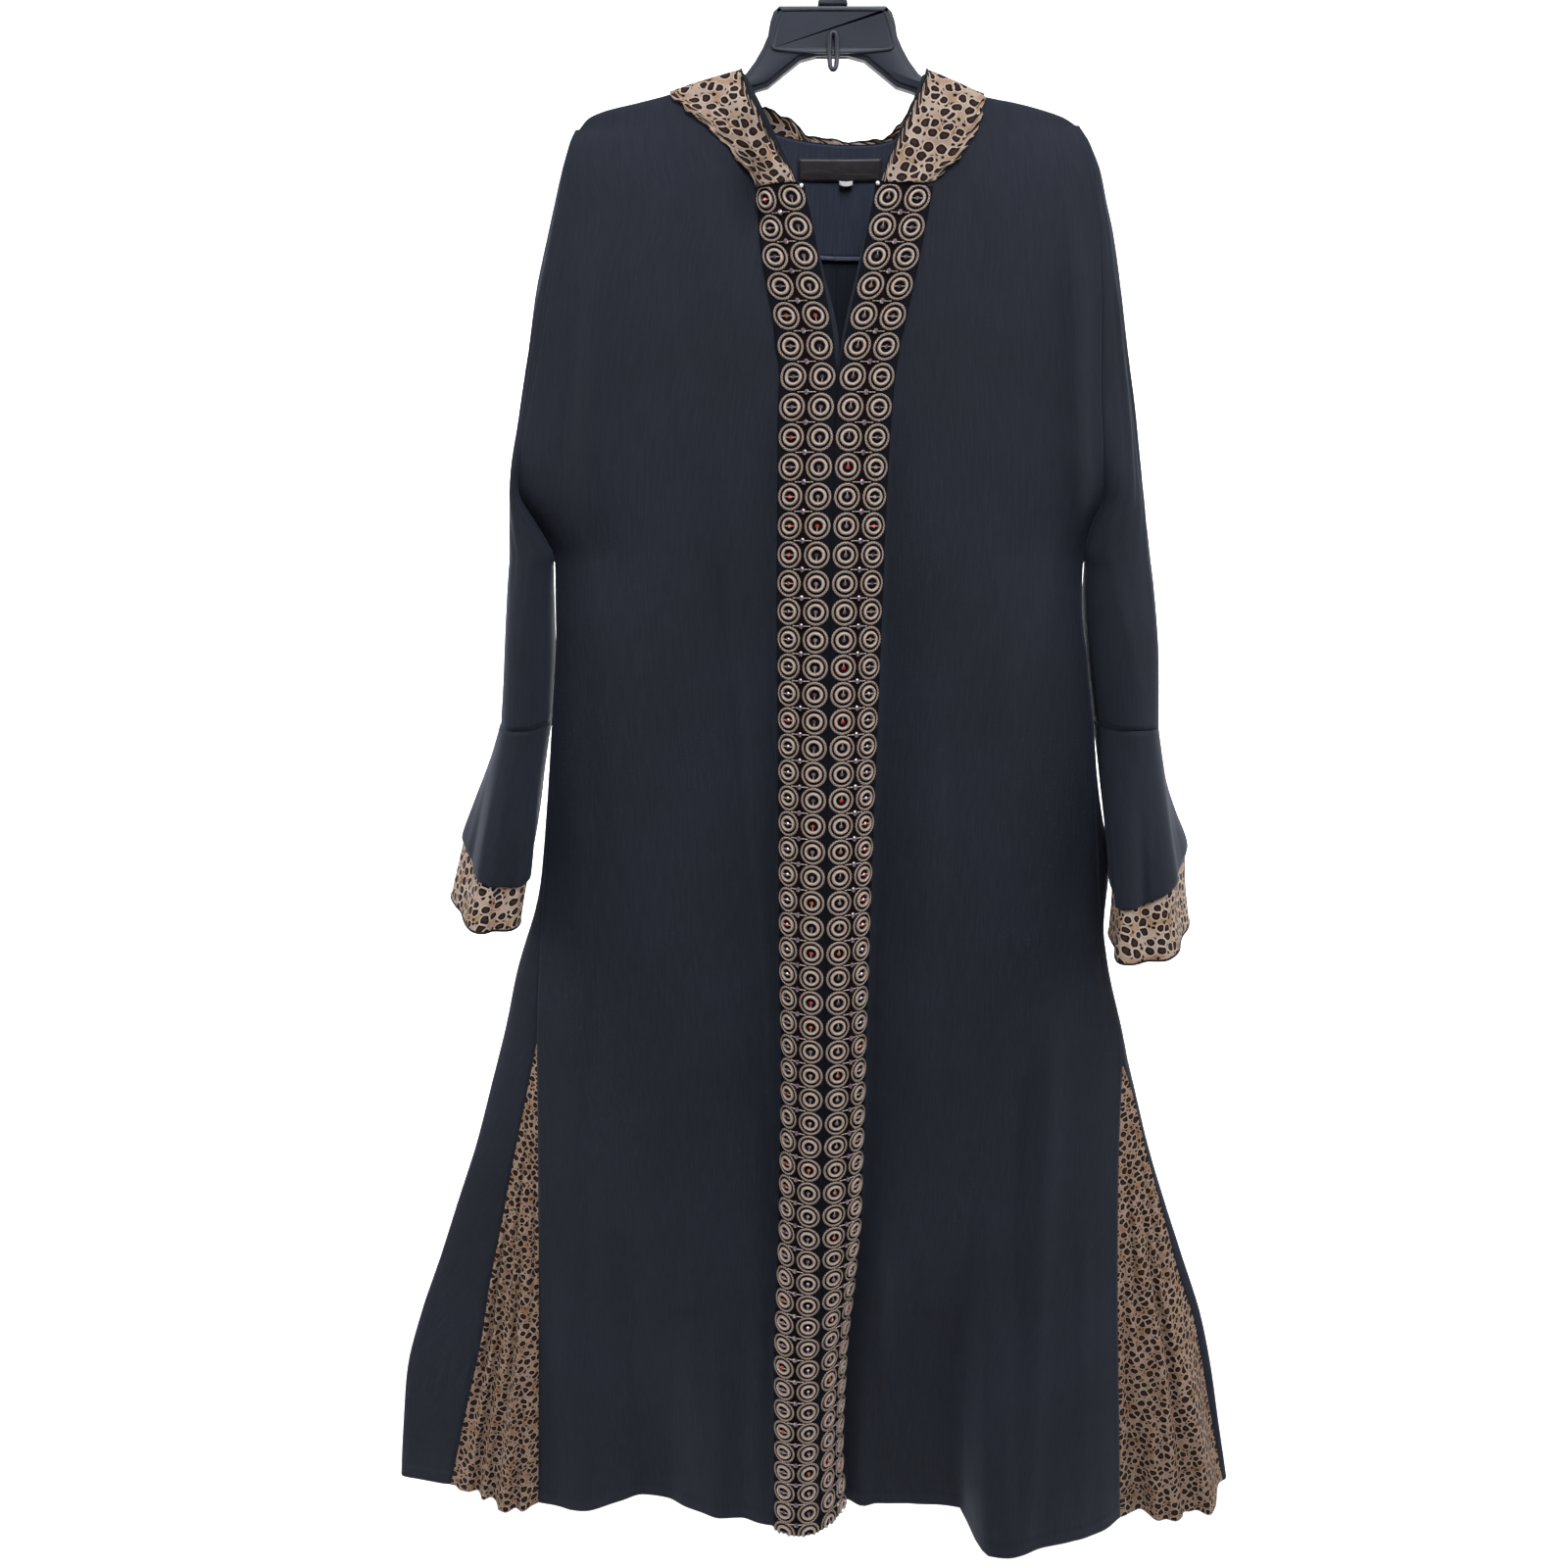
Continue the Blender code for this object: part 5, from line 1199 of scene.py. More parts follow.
def woven_tape(name, code, sheen):
    """Woven satin or taffeta tape: long floats that shine across the weave."""
    material, tree, shader = new_material(name)
    place = node(tree, "TexCoord").outputs["UV"]
    # The floats lie 0.2 mm apart, and are drawn 0.9 mm apart so that they show
    ribs = node(tree, "TexWave", {"Vector": place, "Scale": 1 / 0.0056, "Distortion": 0.4},
                bands_direction="Y")
    uneven = node(tree, "TexNoise", {"Vector": place, "Scale": 160.0, "Detail": 2.0})
    tone = node(tree, "ValToRGB", {0: uneven.outputs[0]}, stops=[
        (0.3, dimmed(linear(code), 0.7)), (0.7, linear(code))])
    bump = node(tree, "Bump", {"Height": ribs.outputs["Fac"], "Strength": 0.4, "Distance": 0.0002})
    set_shader(shader, base_color=tone.outputs[0], normal=bump.outputs[0], roughness=0.4,
               specular_ior_level=0.45, anisotropic=0.5, sheen_weight=sheen)
    return material


def moulded_polystyrene(settings):
    """Injection moulded high impact polystyrene: black with a blue cast, glossy, with a
    slight orange peel and faint duller patches where it has hung against others."""
    material, tree, shader = new_material("moulded_polystyrene")
    place = node(tree, "TexCoord").outputs["Object"]
    peel = node(tree, "TexNoise", {"Vector": place, "Scale": 260.0, "Detail": 1.0})
    rubs = node(tree, "TexNoise", {"Vector": place, "Scale": 22.0, "Detail": 3.0})
    tone = node(tree, "ValToRGB", {0: rubs.outputs[0]}, stops=[
        (0.35, tuple(settings.plastic_colour)), (0.8, linear("#1f2430"))])
    dull = node(tree, "MapRange", {0: rubs.outputs[0], 1: 0.35, 2: 0.8, 3: 0.42, 4: 0.48})
    bump = node(tree, "Bump", {"Height": peel.outputs[0], "Strength": 0.12, "Distance": 0.0002})
    set_shader(shader, base_color=tone.outputs[0], roughness=dull.outputs[0],
               normal=bump.outputs[0], specular_ior_level=0.36, ior=1.59)
    return material


def bent_steel_wire(settings):
    """Drawn steel wire, bright zinc plated: mirror-like with faint lines along its length
    from the die."""
    material, tree, shader = new_material("bent_steel_wire")
    place = node(tree, "TexCoord").outputs["UV"]
    lines_at = node(tree, "Mapping", {"Vector": place, "Scale": (60.0, 40.0, 1.0)})
    lines = node(tree, "TexNoise", {"Vector": lines_at.outputs[0], "Scale": 1.0, "Detail": 3.0})
    dull = node(tree, "MapRange", {0: lines.outputs[0], 3: 0.16, 4: 0.34})
    tone = node(tree, "ValToRGB", {0: lines.outputs[0]}, stops=[
        (0.3, linear("#9a9ca0")), (0.7, tuple(settings.steel_colour))])
    set_shader(shader, base_color=tone.outputs[0], roughness=dull.outputs[0], metallic=1.0)
    return material


def pearl_bead():
    """Moulded plastic bead with a pearl lacquer: white, with a soft clear coat."""
    material, tree, shader = new_material("pearl_lacquer")
    place = node(tree, "TexCoord").outputs["Object"]
    cloud = node(tree, "TexNoise", {"Vector": place, "Scale": 400.0, "Detail": 1.0})
    tone = node(tree, "ValToRGB", {0: cloud.outputs[0]}, stops=[
        (0.3, linear("#cfcbc6")), (0.7, linear("#f2efec"))])
    set_shader(shader, base_color=tone.outputs[0], roughness=0.25, coat_weight=0.6,
               coat_roughness=0.1)
    return material


def painted_wall(name, colour):
    """Matt emulsion on a studio wall and floor: even, with a faint roller texture."""
    material, tree, shader = new_material(name)
    place = node(tree, "TexCoord").outputs["Object"]
    roller = node(tree, "TexNoise", {"Vector": place, "Scale": 120.0, "Detail": 2.0})
    tone = node(tree, "ValToRGB", {0: roller.outputs[0]}, stops=[
        (0.2, dimmed(colour, 0.97)), (0.8, tuple(colour))])
    set_shader(shader, base_color=tone.outputs[0], roughness=0.9, specular_ior_level=0.2)
    return material


# Trims

def strip_heights(side):
    """Z by distance down a trim's strip, in a table from its top to its hem."""
    z = np.linspace(TRIM_TOP_Z, HEM_Z, 700)
    x, y = front_column(side, np.full(z.shape, STRIP_WIDTH / 2 / RIDGE_SPAN), z)
    steps = np.linalg.norm(np.diff(np.stack([x, y, z], -1), axis=0), axis=1)
    return np.concatenate([[0.0], np.cumsum(steps)]), z


def on_strip(side, across, down, height):
    """Points over a trim: out from the centre front, down from its top, and off its cloth."""
    distance, heights = strip_heights(side)
    z = np.interp(down, distance, heights)
    share = (across + STRIP_SHIFT[side].read("out", z)) / RIDGE_SPAN
    x, y = front_column(side, share, z)
    lifted = ridge_normal(side, np.minimum(share, 1.0), z) * (TRIM_LIFT + height)[..., None]
    return np.stack([x, y, z], -1) + lifted


def ring_places(side):
    """Middles of a trim's rings, across and down; the hem cuts the last row in half."""
    down = RING_DOWN[side].read("down", np.arange(RING_ROWS))
    across = np.array([STRIP_WIDTH * 0.25, STRIP_WIDTH * 0.75])
    return np.stack(np.meshgrid(across, down), -1).reshape(-1, 2)


def turned_shapes(side, name, places, profile, segments, closed, material, turn=0.0,
                  tints=None, tall=1.0):
    """One round shape copied to many places on a trim: rings, or capped stones and beads."""
    profile = np.array(profile, float)
    angle = np.linspace(0.0, 2 * np.pi, segments, endpoint=False) + turn
    across = places[:, 0, None, None] + profile[:, 0, None] * np.cos(angle)
    down = places[:, 1, None, None] + tall * profile[:, 0, None] * np.sin(angle)
    height = np.broadcast_to(profile[:, 1, None], across.shape)
    reach = strip_heights(side)[0][-1]
    points = on_strip(side, across, np.clip(down, 0.0, reach), height).reshape(-1, 3)
    rows = len(profile)
    one, one_uv = [], []
    for r in range(rows if closed else rows - 1):
        for c in range(segments):
            after, next_row = (c + 1) % segments, (r + 1) % rows
            one.append((r * segments + c, r * segments + after,
                        next_row * segments + after, next_row * segments + c))
            u0, u1, v0, v1 = c / segments, (c + 1) / segments, r / rows, (r + 1) / rows
            one_uv.append([(u0, v0), (u1, v0), (u1, v1), (u0, v1)])
    faces, uvs = [], []
    above_hem = np.broadcast_to(down, across.shape).reshape(-1) < reach
    for n in range(len(places)):
        for face, corners in zip(one, one_uv):
            moved = tuple(i + n * rows * segments for i in face)
            if above_hem[list(moved)].any():
                faces.append(moved)
                uvs += corners
    if not closed:
        for n in range(len(places)):
            start = n * rows * segments
            faces.append(tuple(range(start, start + segments))[::-1])
            faces.append(tuple(range(start + (rows - 1) * segments, start + rows * segments)))
            uvs += [(0.0, 0.0)] * (2 * segments)
    piece = own_mesh(name, points, faces, uvs)
    outward_faces(piece)
    if tints is not None:
        tint = piece.data.attributes.new("tint", "FLOAT", "POINT")
        tint.data.foreach_set("value", np.repeat(tints, rows * segments).astype(np.float32))
    if closed:
        piece.data.shade_smooth()
    finish_piece(piece, material)
    return piece


def laid_threads(side, name, ends, radius, height, material):
    """Short straight threads over a trim, from one place to another."""
    ends = np.array(ends, float)
    along = ends[:, 1] - ends[:, 0]
    along /= np.linalg.norm(along, axis=1, keepdims=True)
    beside = np.stack([-along[:, 1], along[:, 0]], -1) * radius
    corners = [(-1, 0.0), (1, 0.0), (0, 1.7 * radius)]
    points = np.stack([
        np.stack([np.concatenate([ends[:, e] + beside * k, np.full((len(ends), 1), height + h)], 1)
                  for k, h in corners], 1)
        for e in (0, 1)
    ], 1).reshape(-1, 3)
    points = on_strip(side, points[:, 0], points[:, 1], points[:, 2])
    one = [(0, 1, 4, 3), (1, 2, 5, 4), (2, 0, 3, 5), (2, 1, 0), (3, 4, 5)]
    faces = [tuple(i + 6 * n for i in face) for n in range(len(ends)) for face in one]
    uvs = [(0.001 * k, 0.0) for face in faces for k in range(len(face))]
    piece = own_mesh(name, points, faces, uvs)
    outward_faces(piece)
    finish_piece(piece, material)
    return piece


# Hard pieces of the hanger

def plate(name, outline, front_y, thick, material, bevel, recess=None, node_name=None):
    """Moulded plate cut to an outline of X and Z points, with rounded edges and, where a
    recess is given as a rim width and a depth, both faces sunk inside a raised rim."""
    points = [(x, front_y, z) for x, z in outline]
    piece = own_mesh(name, points, [tuple(range(len(points)))])
    select_only(piece)
    bpy.ops.object.mode_set(mode="EDIT")
    bpy.ops.mesh.select_all(action="SELECT")
    bpy.ops.mesh.extrude_region_move(TRANSFORM_OT_translate={"value": (0.0, thick * MM, 0.0)})
    bpy.ops.object.mode_set(mode="OBJECT")
    outward_faces(piece)
    if recess:
        rim, depth = recess
        for looks in (-1, 1):
            for face in piece.data.polygons:
                face.select = face.normal.y * looks > 0.9 and len(face.vertices) > 8
            bpy.ops.object.mode_set(mode="EDIT")
            bpy.ops.mesh.select_mode(type="FACE")
            bpy.ops.mesh.inset(thickness=rim * MM, depth=0.0)
            bpy.ops.mesh.extrude_region_move(
                TRANSFORM_OT_translate={"value": (0.0, -looks * depth * MM, 0.0)})
            bpy.ops.object.mode_set(mode="OBJECT")
            for face in piece.data.polygons:
                face.select = False
    edge = piece.modifiers.new("edge", "BEVEL")
    edge.width = bevel * MM
    edge.segments = 3
    edge.limit_method = "ANGLE"
    edge.angle_limit = math.radians(40)
    bpy.ops.object.modifier_apply(modifier=edge.name)
    bpy.ops.object.shade_smooth_by_angle(angle=math.radians(35))
    finish_piece(piece, material)
    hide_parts(node_name or name)
    return piece


def rounded(points, step=6):
    """Closed outline through points, its curves filled in."""
    points = np.array(points, float)
    count = len(points)
    made = []
    for i in range(count):
        a, b, c, d = (points[(i + k) % count] for k in (-1, 0, 1, 2))
        for t in np.arange(step) / step:
            made.append(tuple((2 * b + (c - a) * t + (2 * a - 5 * b + 4 * c - d) * t ** 2
                               + (3 * b - a - 3 * c + d) * t ** 3) / 2))
    return made


def arm_top(x, share):
    """Top of an arm under the crest of the cloth, share of the way from its tip."""
    return SHOULDER_CREST.read("z", x) - ARM_DROP - TIP_DROP * (1.0 - smooth(share * 4.0))


def hanger_outline():
    """Outline of the hanger's body: over the shoulders, and under the arch."""
    crown = ((79, -135.6), (75, -132.8), (67, -123), (60.5, -112.5), (56, -103), (54, -92),
             (51, -84), (46, -79.5))
    arch = ((14, -119), (28, -122.5), (42, -133), (56, -143.5))
    over, under = {}, {}
    for side in (LEFT, RIGHT):
        tip, neck = HANGER_TIP[side], side * HANGER_NECK
        shares = np.array([0.0, 0.04, 0.1, 0.2, 0.35, 0.5, 0.65, 0.8, 1.0])
        arm = [(x, float(arm_top(x, share))) for share, x in zip(shares, blend(tip, neck, shares))]
        over[side] = arm + [(side * x, z) for x, z in crown]
        shares = np.array([0.9, 0.75, 0.55, 0.35, 0.18, 0.08])
        low = [(x, float(arm_top(x, share)) - ARM_HEIGHT)
               for share, x in zip(shares, blend(tip, neck, shares))]
        end = [(tip - side * 0.5, float(arm_top(tip, 0.0)) - ARM_HEIGHT * 0.6)]
        under[side] = [(side * x, z) for x, z in arch] + low + end
    return over[LEFT] + over[RIGHT][::-1] + under[RIGHT][::-1] + under[LEFT]


# Sizes and colours that a user would change

def colour_property(name, description, code):
    """Colour that a user can change, with its usual value as a hexadecimal code."""
    return FloatVectorProperty(name=name, description=description, default=linear(code),
                               subtype="COLOR", size=4, min=0.0, max=1.0)


class ClothSettings(bpy.types.PropertyGroup):
    crepe_wall: FloatProperty(
        name="Crepe thickness", description="Thickness of the crepe", default=0.0008,
        min=0.0003, max=0.002, unit="LENGTH")
    chiffon_wall: FloatProperty(
        name="Chiffon thickness", description="Thickness of the chiffon", default=0.0005,
        min=0.0002, max=0.002, unit="LENGTH")
    crease_depth: FloatProperty(
        name="Crease depth", description="Scale of the creases laid on the panels",
        default=1.0, min=0.0, max=2.0, subtype="FACTOR")
    crepe_colour: colour_property("Crepe", "Colour of the crepe", "#1b1f29")
    crepe_shade: colour_property("Crepe shade", "Darker streaks in the crepe", "#171a22")
    spot_spacing: FloatProperty(
        name="Spot spacing", description="Distance from spot to spot of the print, in mm",
        default=10.4, min=5.0, max=40.0)
    print_ground: colour_property("Print ground", "Ground of the printed chiffon", "#a28f80")
    print_blotch: colour_property("Print blotch", "Browner patches of the ground", "#8c6c50")
    print_halo: colour_property("Print halo", "Paler rim round each spot", "#b8a799")
    print_spot: colour_property("Print spot", "Outer part of each spot", "#140a07")
    print_middle: colour_property("Spot middle", "Lighter middle of each spot", "#35231d")


class TrimSettings(bpy.types.PropertyGroup):
    rope_radius: FloatProperty(
        name="Rope ring radius", description="Outer radius of the corded ring", default=0.0119,
        min=0.005, max=0.02, unit="LENGTH")
    satin_radius: FloatProperty(
        name="Satin ring radius", description="Outer radius of the satin stitched ring",
        default=0.0079, min=0.003, max=0.015, unit="LENGTH")
    stone_radius: FloatProperty(
        name="Stone radius", description="Radius of the stone in each ring", default=0.0019,
        min=0.001, max=0.005, unit="LENGTH")
    thread_light: colour_property("Thread", "Light side of the embroidery thread", "#b09a8b")
    # Dark net in the gaps between the cords, and painted shade down the cords' sides.
    thread_gaps_and_shade: colour_property("Thread shade", "Slots between the stitches", "#170d0b")


class HangerSettings(bpy.types.PropertyGroup):
    rim_width: FloatProperty(
        name="Rim width", description="Width of the hanger's raised rim", default=0.0036,
        min=0.001, max=0.006, unit="LENGTH")
    rim_height: FloatProperty(
        name="Rim height", description="How far each face is sunk inside the rim",
        default=0.0016, min=0.0, max=0.003, unit="LENGTH")
    plastic_colour: colour_property("Plastic", "Colour of the moulded hanger", "#1d212c")
    steel_colour: colour_property("Steel", "Colour of the hook's wire", "#c9cbce")


class StageSettings(bpy.types.PropertyGroup):
    floor_z: FloatProperty(
        name="Floor height", description="Height of the studio floor", default=-1.86,
        min=-4.0, max=-1.6, unit="LENGTH")
    key_power: FloatProperty(
        name="Key light", description="Power of the large front light", default=26.0,
        min=0.0, max=400.0, unit="POWER")
    fill_power: FloatProperty(
        name="Fill light", description="Power of each side light", default=7.0,
        min=0.0, max=400.0, unit="POWER")
    wall_power: FloatProperty(
        name="Wall lights", description="Power of each light on the backdrop", default=52.0,
        min=0.0, max=400.0, unit="POWER")
    wall_colour: colour_property("Wall", "Colour of the wall and floor", "#f5f5f4")


# Operators

class ABAYA_OT_stage(bpy.types.Operator):
    """Set up the camera, the soft lights and the pale wall and floor"""
    bl_idname = "abaya.stage"
    bl_label = "Set the stage"

    def execute(self, context):
        settings = context.scene.abaya_stage
        camera = bpy.data.cameras.new("camera")
        camera.lens = CAMERA_LENS
        camera.sensor_width = CAMERA_SENSOR
        camera.clip_start = 0.05
        camera.clip_end = 40.0
        viewer = bpy.data.objects.new("camera", camera)
        viewer.location = CAMERA_PLACE
        viewer.rotation_euler = (math.radians(90.0 - CAMERA_DIP), 0.0, 0.0)
        context.scene.collection.objects.link(viewer)
        context.scene.camera = viewer
        floor_z = settings.floor_z / MM
        rows = [(FLOOR_FRONT_Y, floor_z), (WALL_TURN_Y, floor_z)]
        for angle in np.linspace(0.0, math.pi / 2, 17)[1:]:
            rows.append((WALL_TURN_Y + WALL_TURN_RADIUS * math.sin(angle),
                         floor_z + WALL_TURN_RADIUS * (1.0 - math.cos(angle))))
        rows.append((WALL_TURN_Y + WALL_TURN_RADIUS, floor_z + WALL_HEIGHT))
        points = [(x, y, z) for y, z in rows for x in (-WALL_HALF_WIDTH, WALL_HALF_WIDTH)]
        faces = [(2 * r, 2 * r + 1, 2 * r + 3, 2 * r + 2) for r in range(len(rows) - 1)]
        wall = own_mesh("studio_wall", points, faces)
        face_out(wall, (0, -1, 1))
        wall.data.shade_smooth()
        wall.data.materials.append(painted_wall("studio_paint", settings.wall_colour))
        for name, power, share, size, place, aim in LIGHTS:
            lamp = bpy.data.lights.new(name, "AREA")
            lamp.energy = share * getattr(settings, power)
            lamp.size = size
            lamp.spread = math.radians(150 if name == "back_light" else 72)
            lamp.color = linear("#f0f5ff" if name == "key_light" else "#ffffff")[:3]
            lamp_object = bpy.data.objects.new(name, lamp)
            lamp_object.location = place
            lamp_object.rotation_euler = (Vector(place) - Vector(aim)).to_track_quat("Z", "Y").to_euler()
            context.scene.collection.objects.link(lamp_object)
        world = bpy.data.worlds.new("studio")
        world.use_nodes = True
        background = world.node_tree.nodes["Background"]
        background.inputs[0].default_value = linear("#ffffff")
        background.inputs[1].default_value = 0.15
        context.scene.world = world
        context.scene.view_settings.view_transform = "Standard"
        return {"FINISHED"}


class ABAYA_OT_body(bpy.types.Operator):
    """Sew the two fronts and the two backs in crepe"""
    bl_idname = "abaya.body"
    bl_label = "Sew the body"

    def execute(self, context):
        settings = context.scene.abaya_cloth
        crepe = woven_crepe("woven_crepe", settings.crepe_colour, settings.crepe_shade)
        wall = settings.crepe_wall / MM
        for side in (LEFT, RIGHT):
            for part, lay, outward in (("front_", front_grid, -1), ("back_", back_grid, 1)):
                name = part + SIDE_NAME[side]
                grid = lay(side, settings.crease_depth)
                piece = cloth_piece(name + "_panel", grid, wall, crepe, (0, outward, 0))
                declare(piece, grid, nodes=[name])
        return {"FINISHED"}


class ABAYA_OT_sleeves(bpy.types.Operator):
    """Set the sleeves into the armholes"""
    bl_idname = "abaya.sleeves"
    bl_label = "Set the sleeves"

    def execute(self, context):
        settings = context.scene.abaya_cloth
        crepe = bpy.data.materials["woven_crepe"]
        closed = len(armhole_shares()) - 1
        for side in (LEFT, RIGHT):
            grid = sleeve_grid(side, settings.crease_depth)
            name = SIDE_NAME[side]
            piece = cloth_piece("sleeve_" + name + "_tube", grid, settings.crepe_wall / MM, crepe,
                                (side, 0, 0), close_from=closed)
            declare(piece, grid,
                    nodes=["sleeve_" + name])
        return {"FINISHED"}


class ABAYA_OT_cuffs(bpy.types.Operator):
    """Gather the crepe bells and the longer printed under-cuffs"""
    bl_idname = "abaya.cuffs"
    bl_label = "Gather the cuffs"

    def execute(self, context):
        settings = context.scene.abaya_cloth
        crepe = bpy.data.materials["woven_crepe"]
        chiffon = printed_chiffon("printed_chiffon", settings, settings.spot_spacing, "#ffffff")
        overlock = plain_thread("overlock_thread_black", "#121114")

        def ripple(shares):
            return 0.012 * smooth(shares)

        def inset(shares):
            return UNDER_INSET * (1.0 - smooth(shares - 1.0))

        def fine_ripple(shares):
            return 0.012 * smooth(shares) - 0.006 * smooth(shares - 1.0)

        for side in (LEFT, RIGHT):
            name = SIDE_NAME[side]
            grid = cuff_grid(side, np.linspace(0.0, 1.0, 34), lambda shares: 0.0 * shares, ripple)
            piece = cloth_piece("cuff_bell_" + name + "_flare", grid, settings.crepe_wall / MM,
                                crepe, None)
            declare(piece, grid,
                    nodes=["cuff_bell_" + name])
            grid = cuff_grid(side, np.linspace(0.0, 2.0, 50), inset, fine_ripple)
            piece = cloth_piece("cuff_under_" + name + "_flare", grid, settings.chiffon_wall / MM,
                                chiffon, None)
            edge = tube("cuff_under_" + name + "_edge", grid[-1, :-1], 1.3, overlock,
                        closed=True, sides=5)
            declare(piece, grid,
                    nodes=["cuff_under_" + name])
        return {"FINISHED"}


class ABAYA_OT_godets(bpy.types.Operator):
    """Let the printed godets into the side seams"""
    bl_idname = "abaya.godets"
    bl_label = "Let in the godets"

    def execute(self, context):
        settings = context.scene.abaya_cloth
        chiffon = printed_chiffon("printed_chiffon_godet", settings,
                                  GODET_SPOTS * settings.spot_spacing, "#e9dfd8", slant=-0.5)
        rolled = plain_thread("rolled_edge_thread", "#9a8c80")
        for side in (LEFT, RIGHT):
            name = SIDE_NAME[side]
            grid = godet_grid(side)
            piece = cloth_piece("godet_" + name + "_inset", grid, settings.chiffon_wall / MM,
                                chiffon, (side, -1, 0), middle_column=22)
            edge = tube("godet_" + name + "_edge", grid[-1], 0.7, rolled,
                        sides=5)
            declare(piece, grid,
                    nodes=["godet_" + name])
        return {"FINISHED"}


class ABAYA_OT_trims(bpy.types.Operator):
    """Lay the net strips, the embroidered rings, the stones and the beads"""
    bl_idname = "abaya.trims"
    bl_label = "Lay the ring trims"

    def execute(self, context):
        settings = context.scene.abaya_trim
        net = embroidered_net()
        rope = corded_thread(settings)
        satin = satin_stitch(settings)
        stone = cut_stone()
        draw = plain_thread("fine_thread_taupe", "#c9b9ab", 0.4)
        chance = np.random.default_rng(12)
        rope_radius = settings.rope_radius / MM
        satin_radius = settings.satin_radius / MM
        stone_radius = settings.stone_radius / MM
        for side in (LEFT, RIGHT):
            name = SIDE_NAME[side]
            columns = np.linspace(0.0, STRIP_WIDTH, 17)
            distance = strip_heights(side)[0][-1]
            down = np.linspace(0.0, distance, 270)
            across, down = np.meshgrid(columns, down)
            grid = on_strip(side, across, down, np.full(across.shape, -0.5))
            strip = cloth_piece("trim_" + name + "_net", grid, 0.6, net, (0, -1, 0))
            places = ring_places(side)
            parts = [
                turned_shapes(side, "trim_" + name + "_rope_rings", places,
                              [(rope_radius - 2.8, 0.0), (rope_radius - 1.4, 1.5),
                               (rope_radius, 0.0)],
                              24, True, rope, tall=1.055),
                turned_shapes(side, "trim_" + name + "_satin_rings", places,
                              [(satin_radius - 3.1, 0.0), (satin_radius - 2.2, 1.8),
                               (satin_radius - 0.9, 1.7), (satin_radius, 0.0)],
                              16, True, satin),
            ]
            tints = chance.random(len(places))
            parts.append(turned_shapes(side, "trim_" + name + "_stones", places,
                                       [(stone_radius, 0.2), (stone_radius, 0.9),
                                        (stone_radius * 0.5, 2.0)],
                                       8, False, stone, turn=0.39, tints=tints))
            rows = places[::2, 1]
            middle = np.stack([np.full(RING_ROWS - 1, STRIP_WIDTH / 2),
                               (rows[1:] + rows[:-1]) / 2], -1)
            tints = 0.3 + chance.random(len(middle)) * 0.3
            parts.append(turned_shapes(side, "trim_" + name + "_beads", middle,
                                       [(1.2, 0.2), (2.1, 1.0), (2.1, 2.2), (1.1, 3.0)],
                                       8, False, stone, tints=tints, tall=1.2))
            inner = satin_radius - 3.2
            ends = []
            for across_middle, down_middle in middle:
                for way in (-1, 1):
                    ends.append([(across_middle + way * 1.9, down_middle),
                                 (across_middle + way * 8.2, down_middle)])
            for across_middle, down_middle in places:
                if across_middle > STRIP_WIDTH / 2:
                    for way in (-1, 1):
                        ends.append([(across_middle + way * 1.2, down_middle),
                                     (across_middle + way * inner, down_middle)])
                else:
                    way = 1 if side == LEFT else -1
                    ends.append([(across_middle, down_middle + way * 0.8),
                                 (across_middle, down_middle + way * inner)])
            parts.append(laid_threads(side, "trim_" + name + "_threads", ends, 0.45, 0.9, draw))
            declare(strip, grid,
                    nodes=["trim_" + name])
        return {"FINISHED"}


class ABAYA_OT_collar(bpy.types.Operator):
    """Fold the printed collar over the shoulders and round the back neck"""
    bl_idname = "abaya.collar"
    bl_label = "Fold the collar"

    def execute(self, context):
        settings = context.scene.abaya_cloth
        chiffon = bpy.data.materials["printed_chiffon"]
        overlock = bpy.data.materials["overlock_thread_black"]
        wall = settings.chiffon_wall / MM

        def frill(grid, side):
            """The loose outer edge wanders in small uneven waves, fading out at its ends."""
            row = np.arange(grid.shape[0])[:, None]
            ends = smooth(row / 6.0) * smooth((grid.shape[0] - 1 - row) / 4.0)
            wave = 0.8 * np.sin(row * 1.1) + 0.6 * np.sin(row * 0.47 + 1.3)
            outer = np.linspace(0.0, 1.0, grid.shape[1]) ** 5
            grid[..., 0] += side * wave * ends * outer

        for side in (LEFT, RIGHT):
            name = SIDE_NAME[side]

            def surface_y(x, z, side=side):
                return find_y(front_column, 2.0, side, x, z)

            grid = collar_grid(COLLAR_FRONT[side], surface_y, -1, 0.8 * side)
            frill(grid, side)
            piece = cloth_piece("collar_" + name + "_band", grid, wall, chiffon, (0, -1, 0))
            edge = tube("collar_" + name + "_edge", grid[:, 0], 1.0, overlock,
                        sides=6)
            declare(piece, grid, nodes=["collar_" + name])
        grid = collar_grid(COLLAR_BACK, back_y, 1, 2.0)
        piece = cloth_piece("collar_back_band", grid, wall, chiffon, (0, 1, 0))
        edge = tube("collar_back_edge", grid[:, 0], 0.8, overlock, sides=6)
        declare(piece, grid, nodes=["collar_back"])
        return {"FINISHED"}


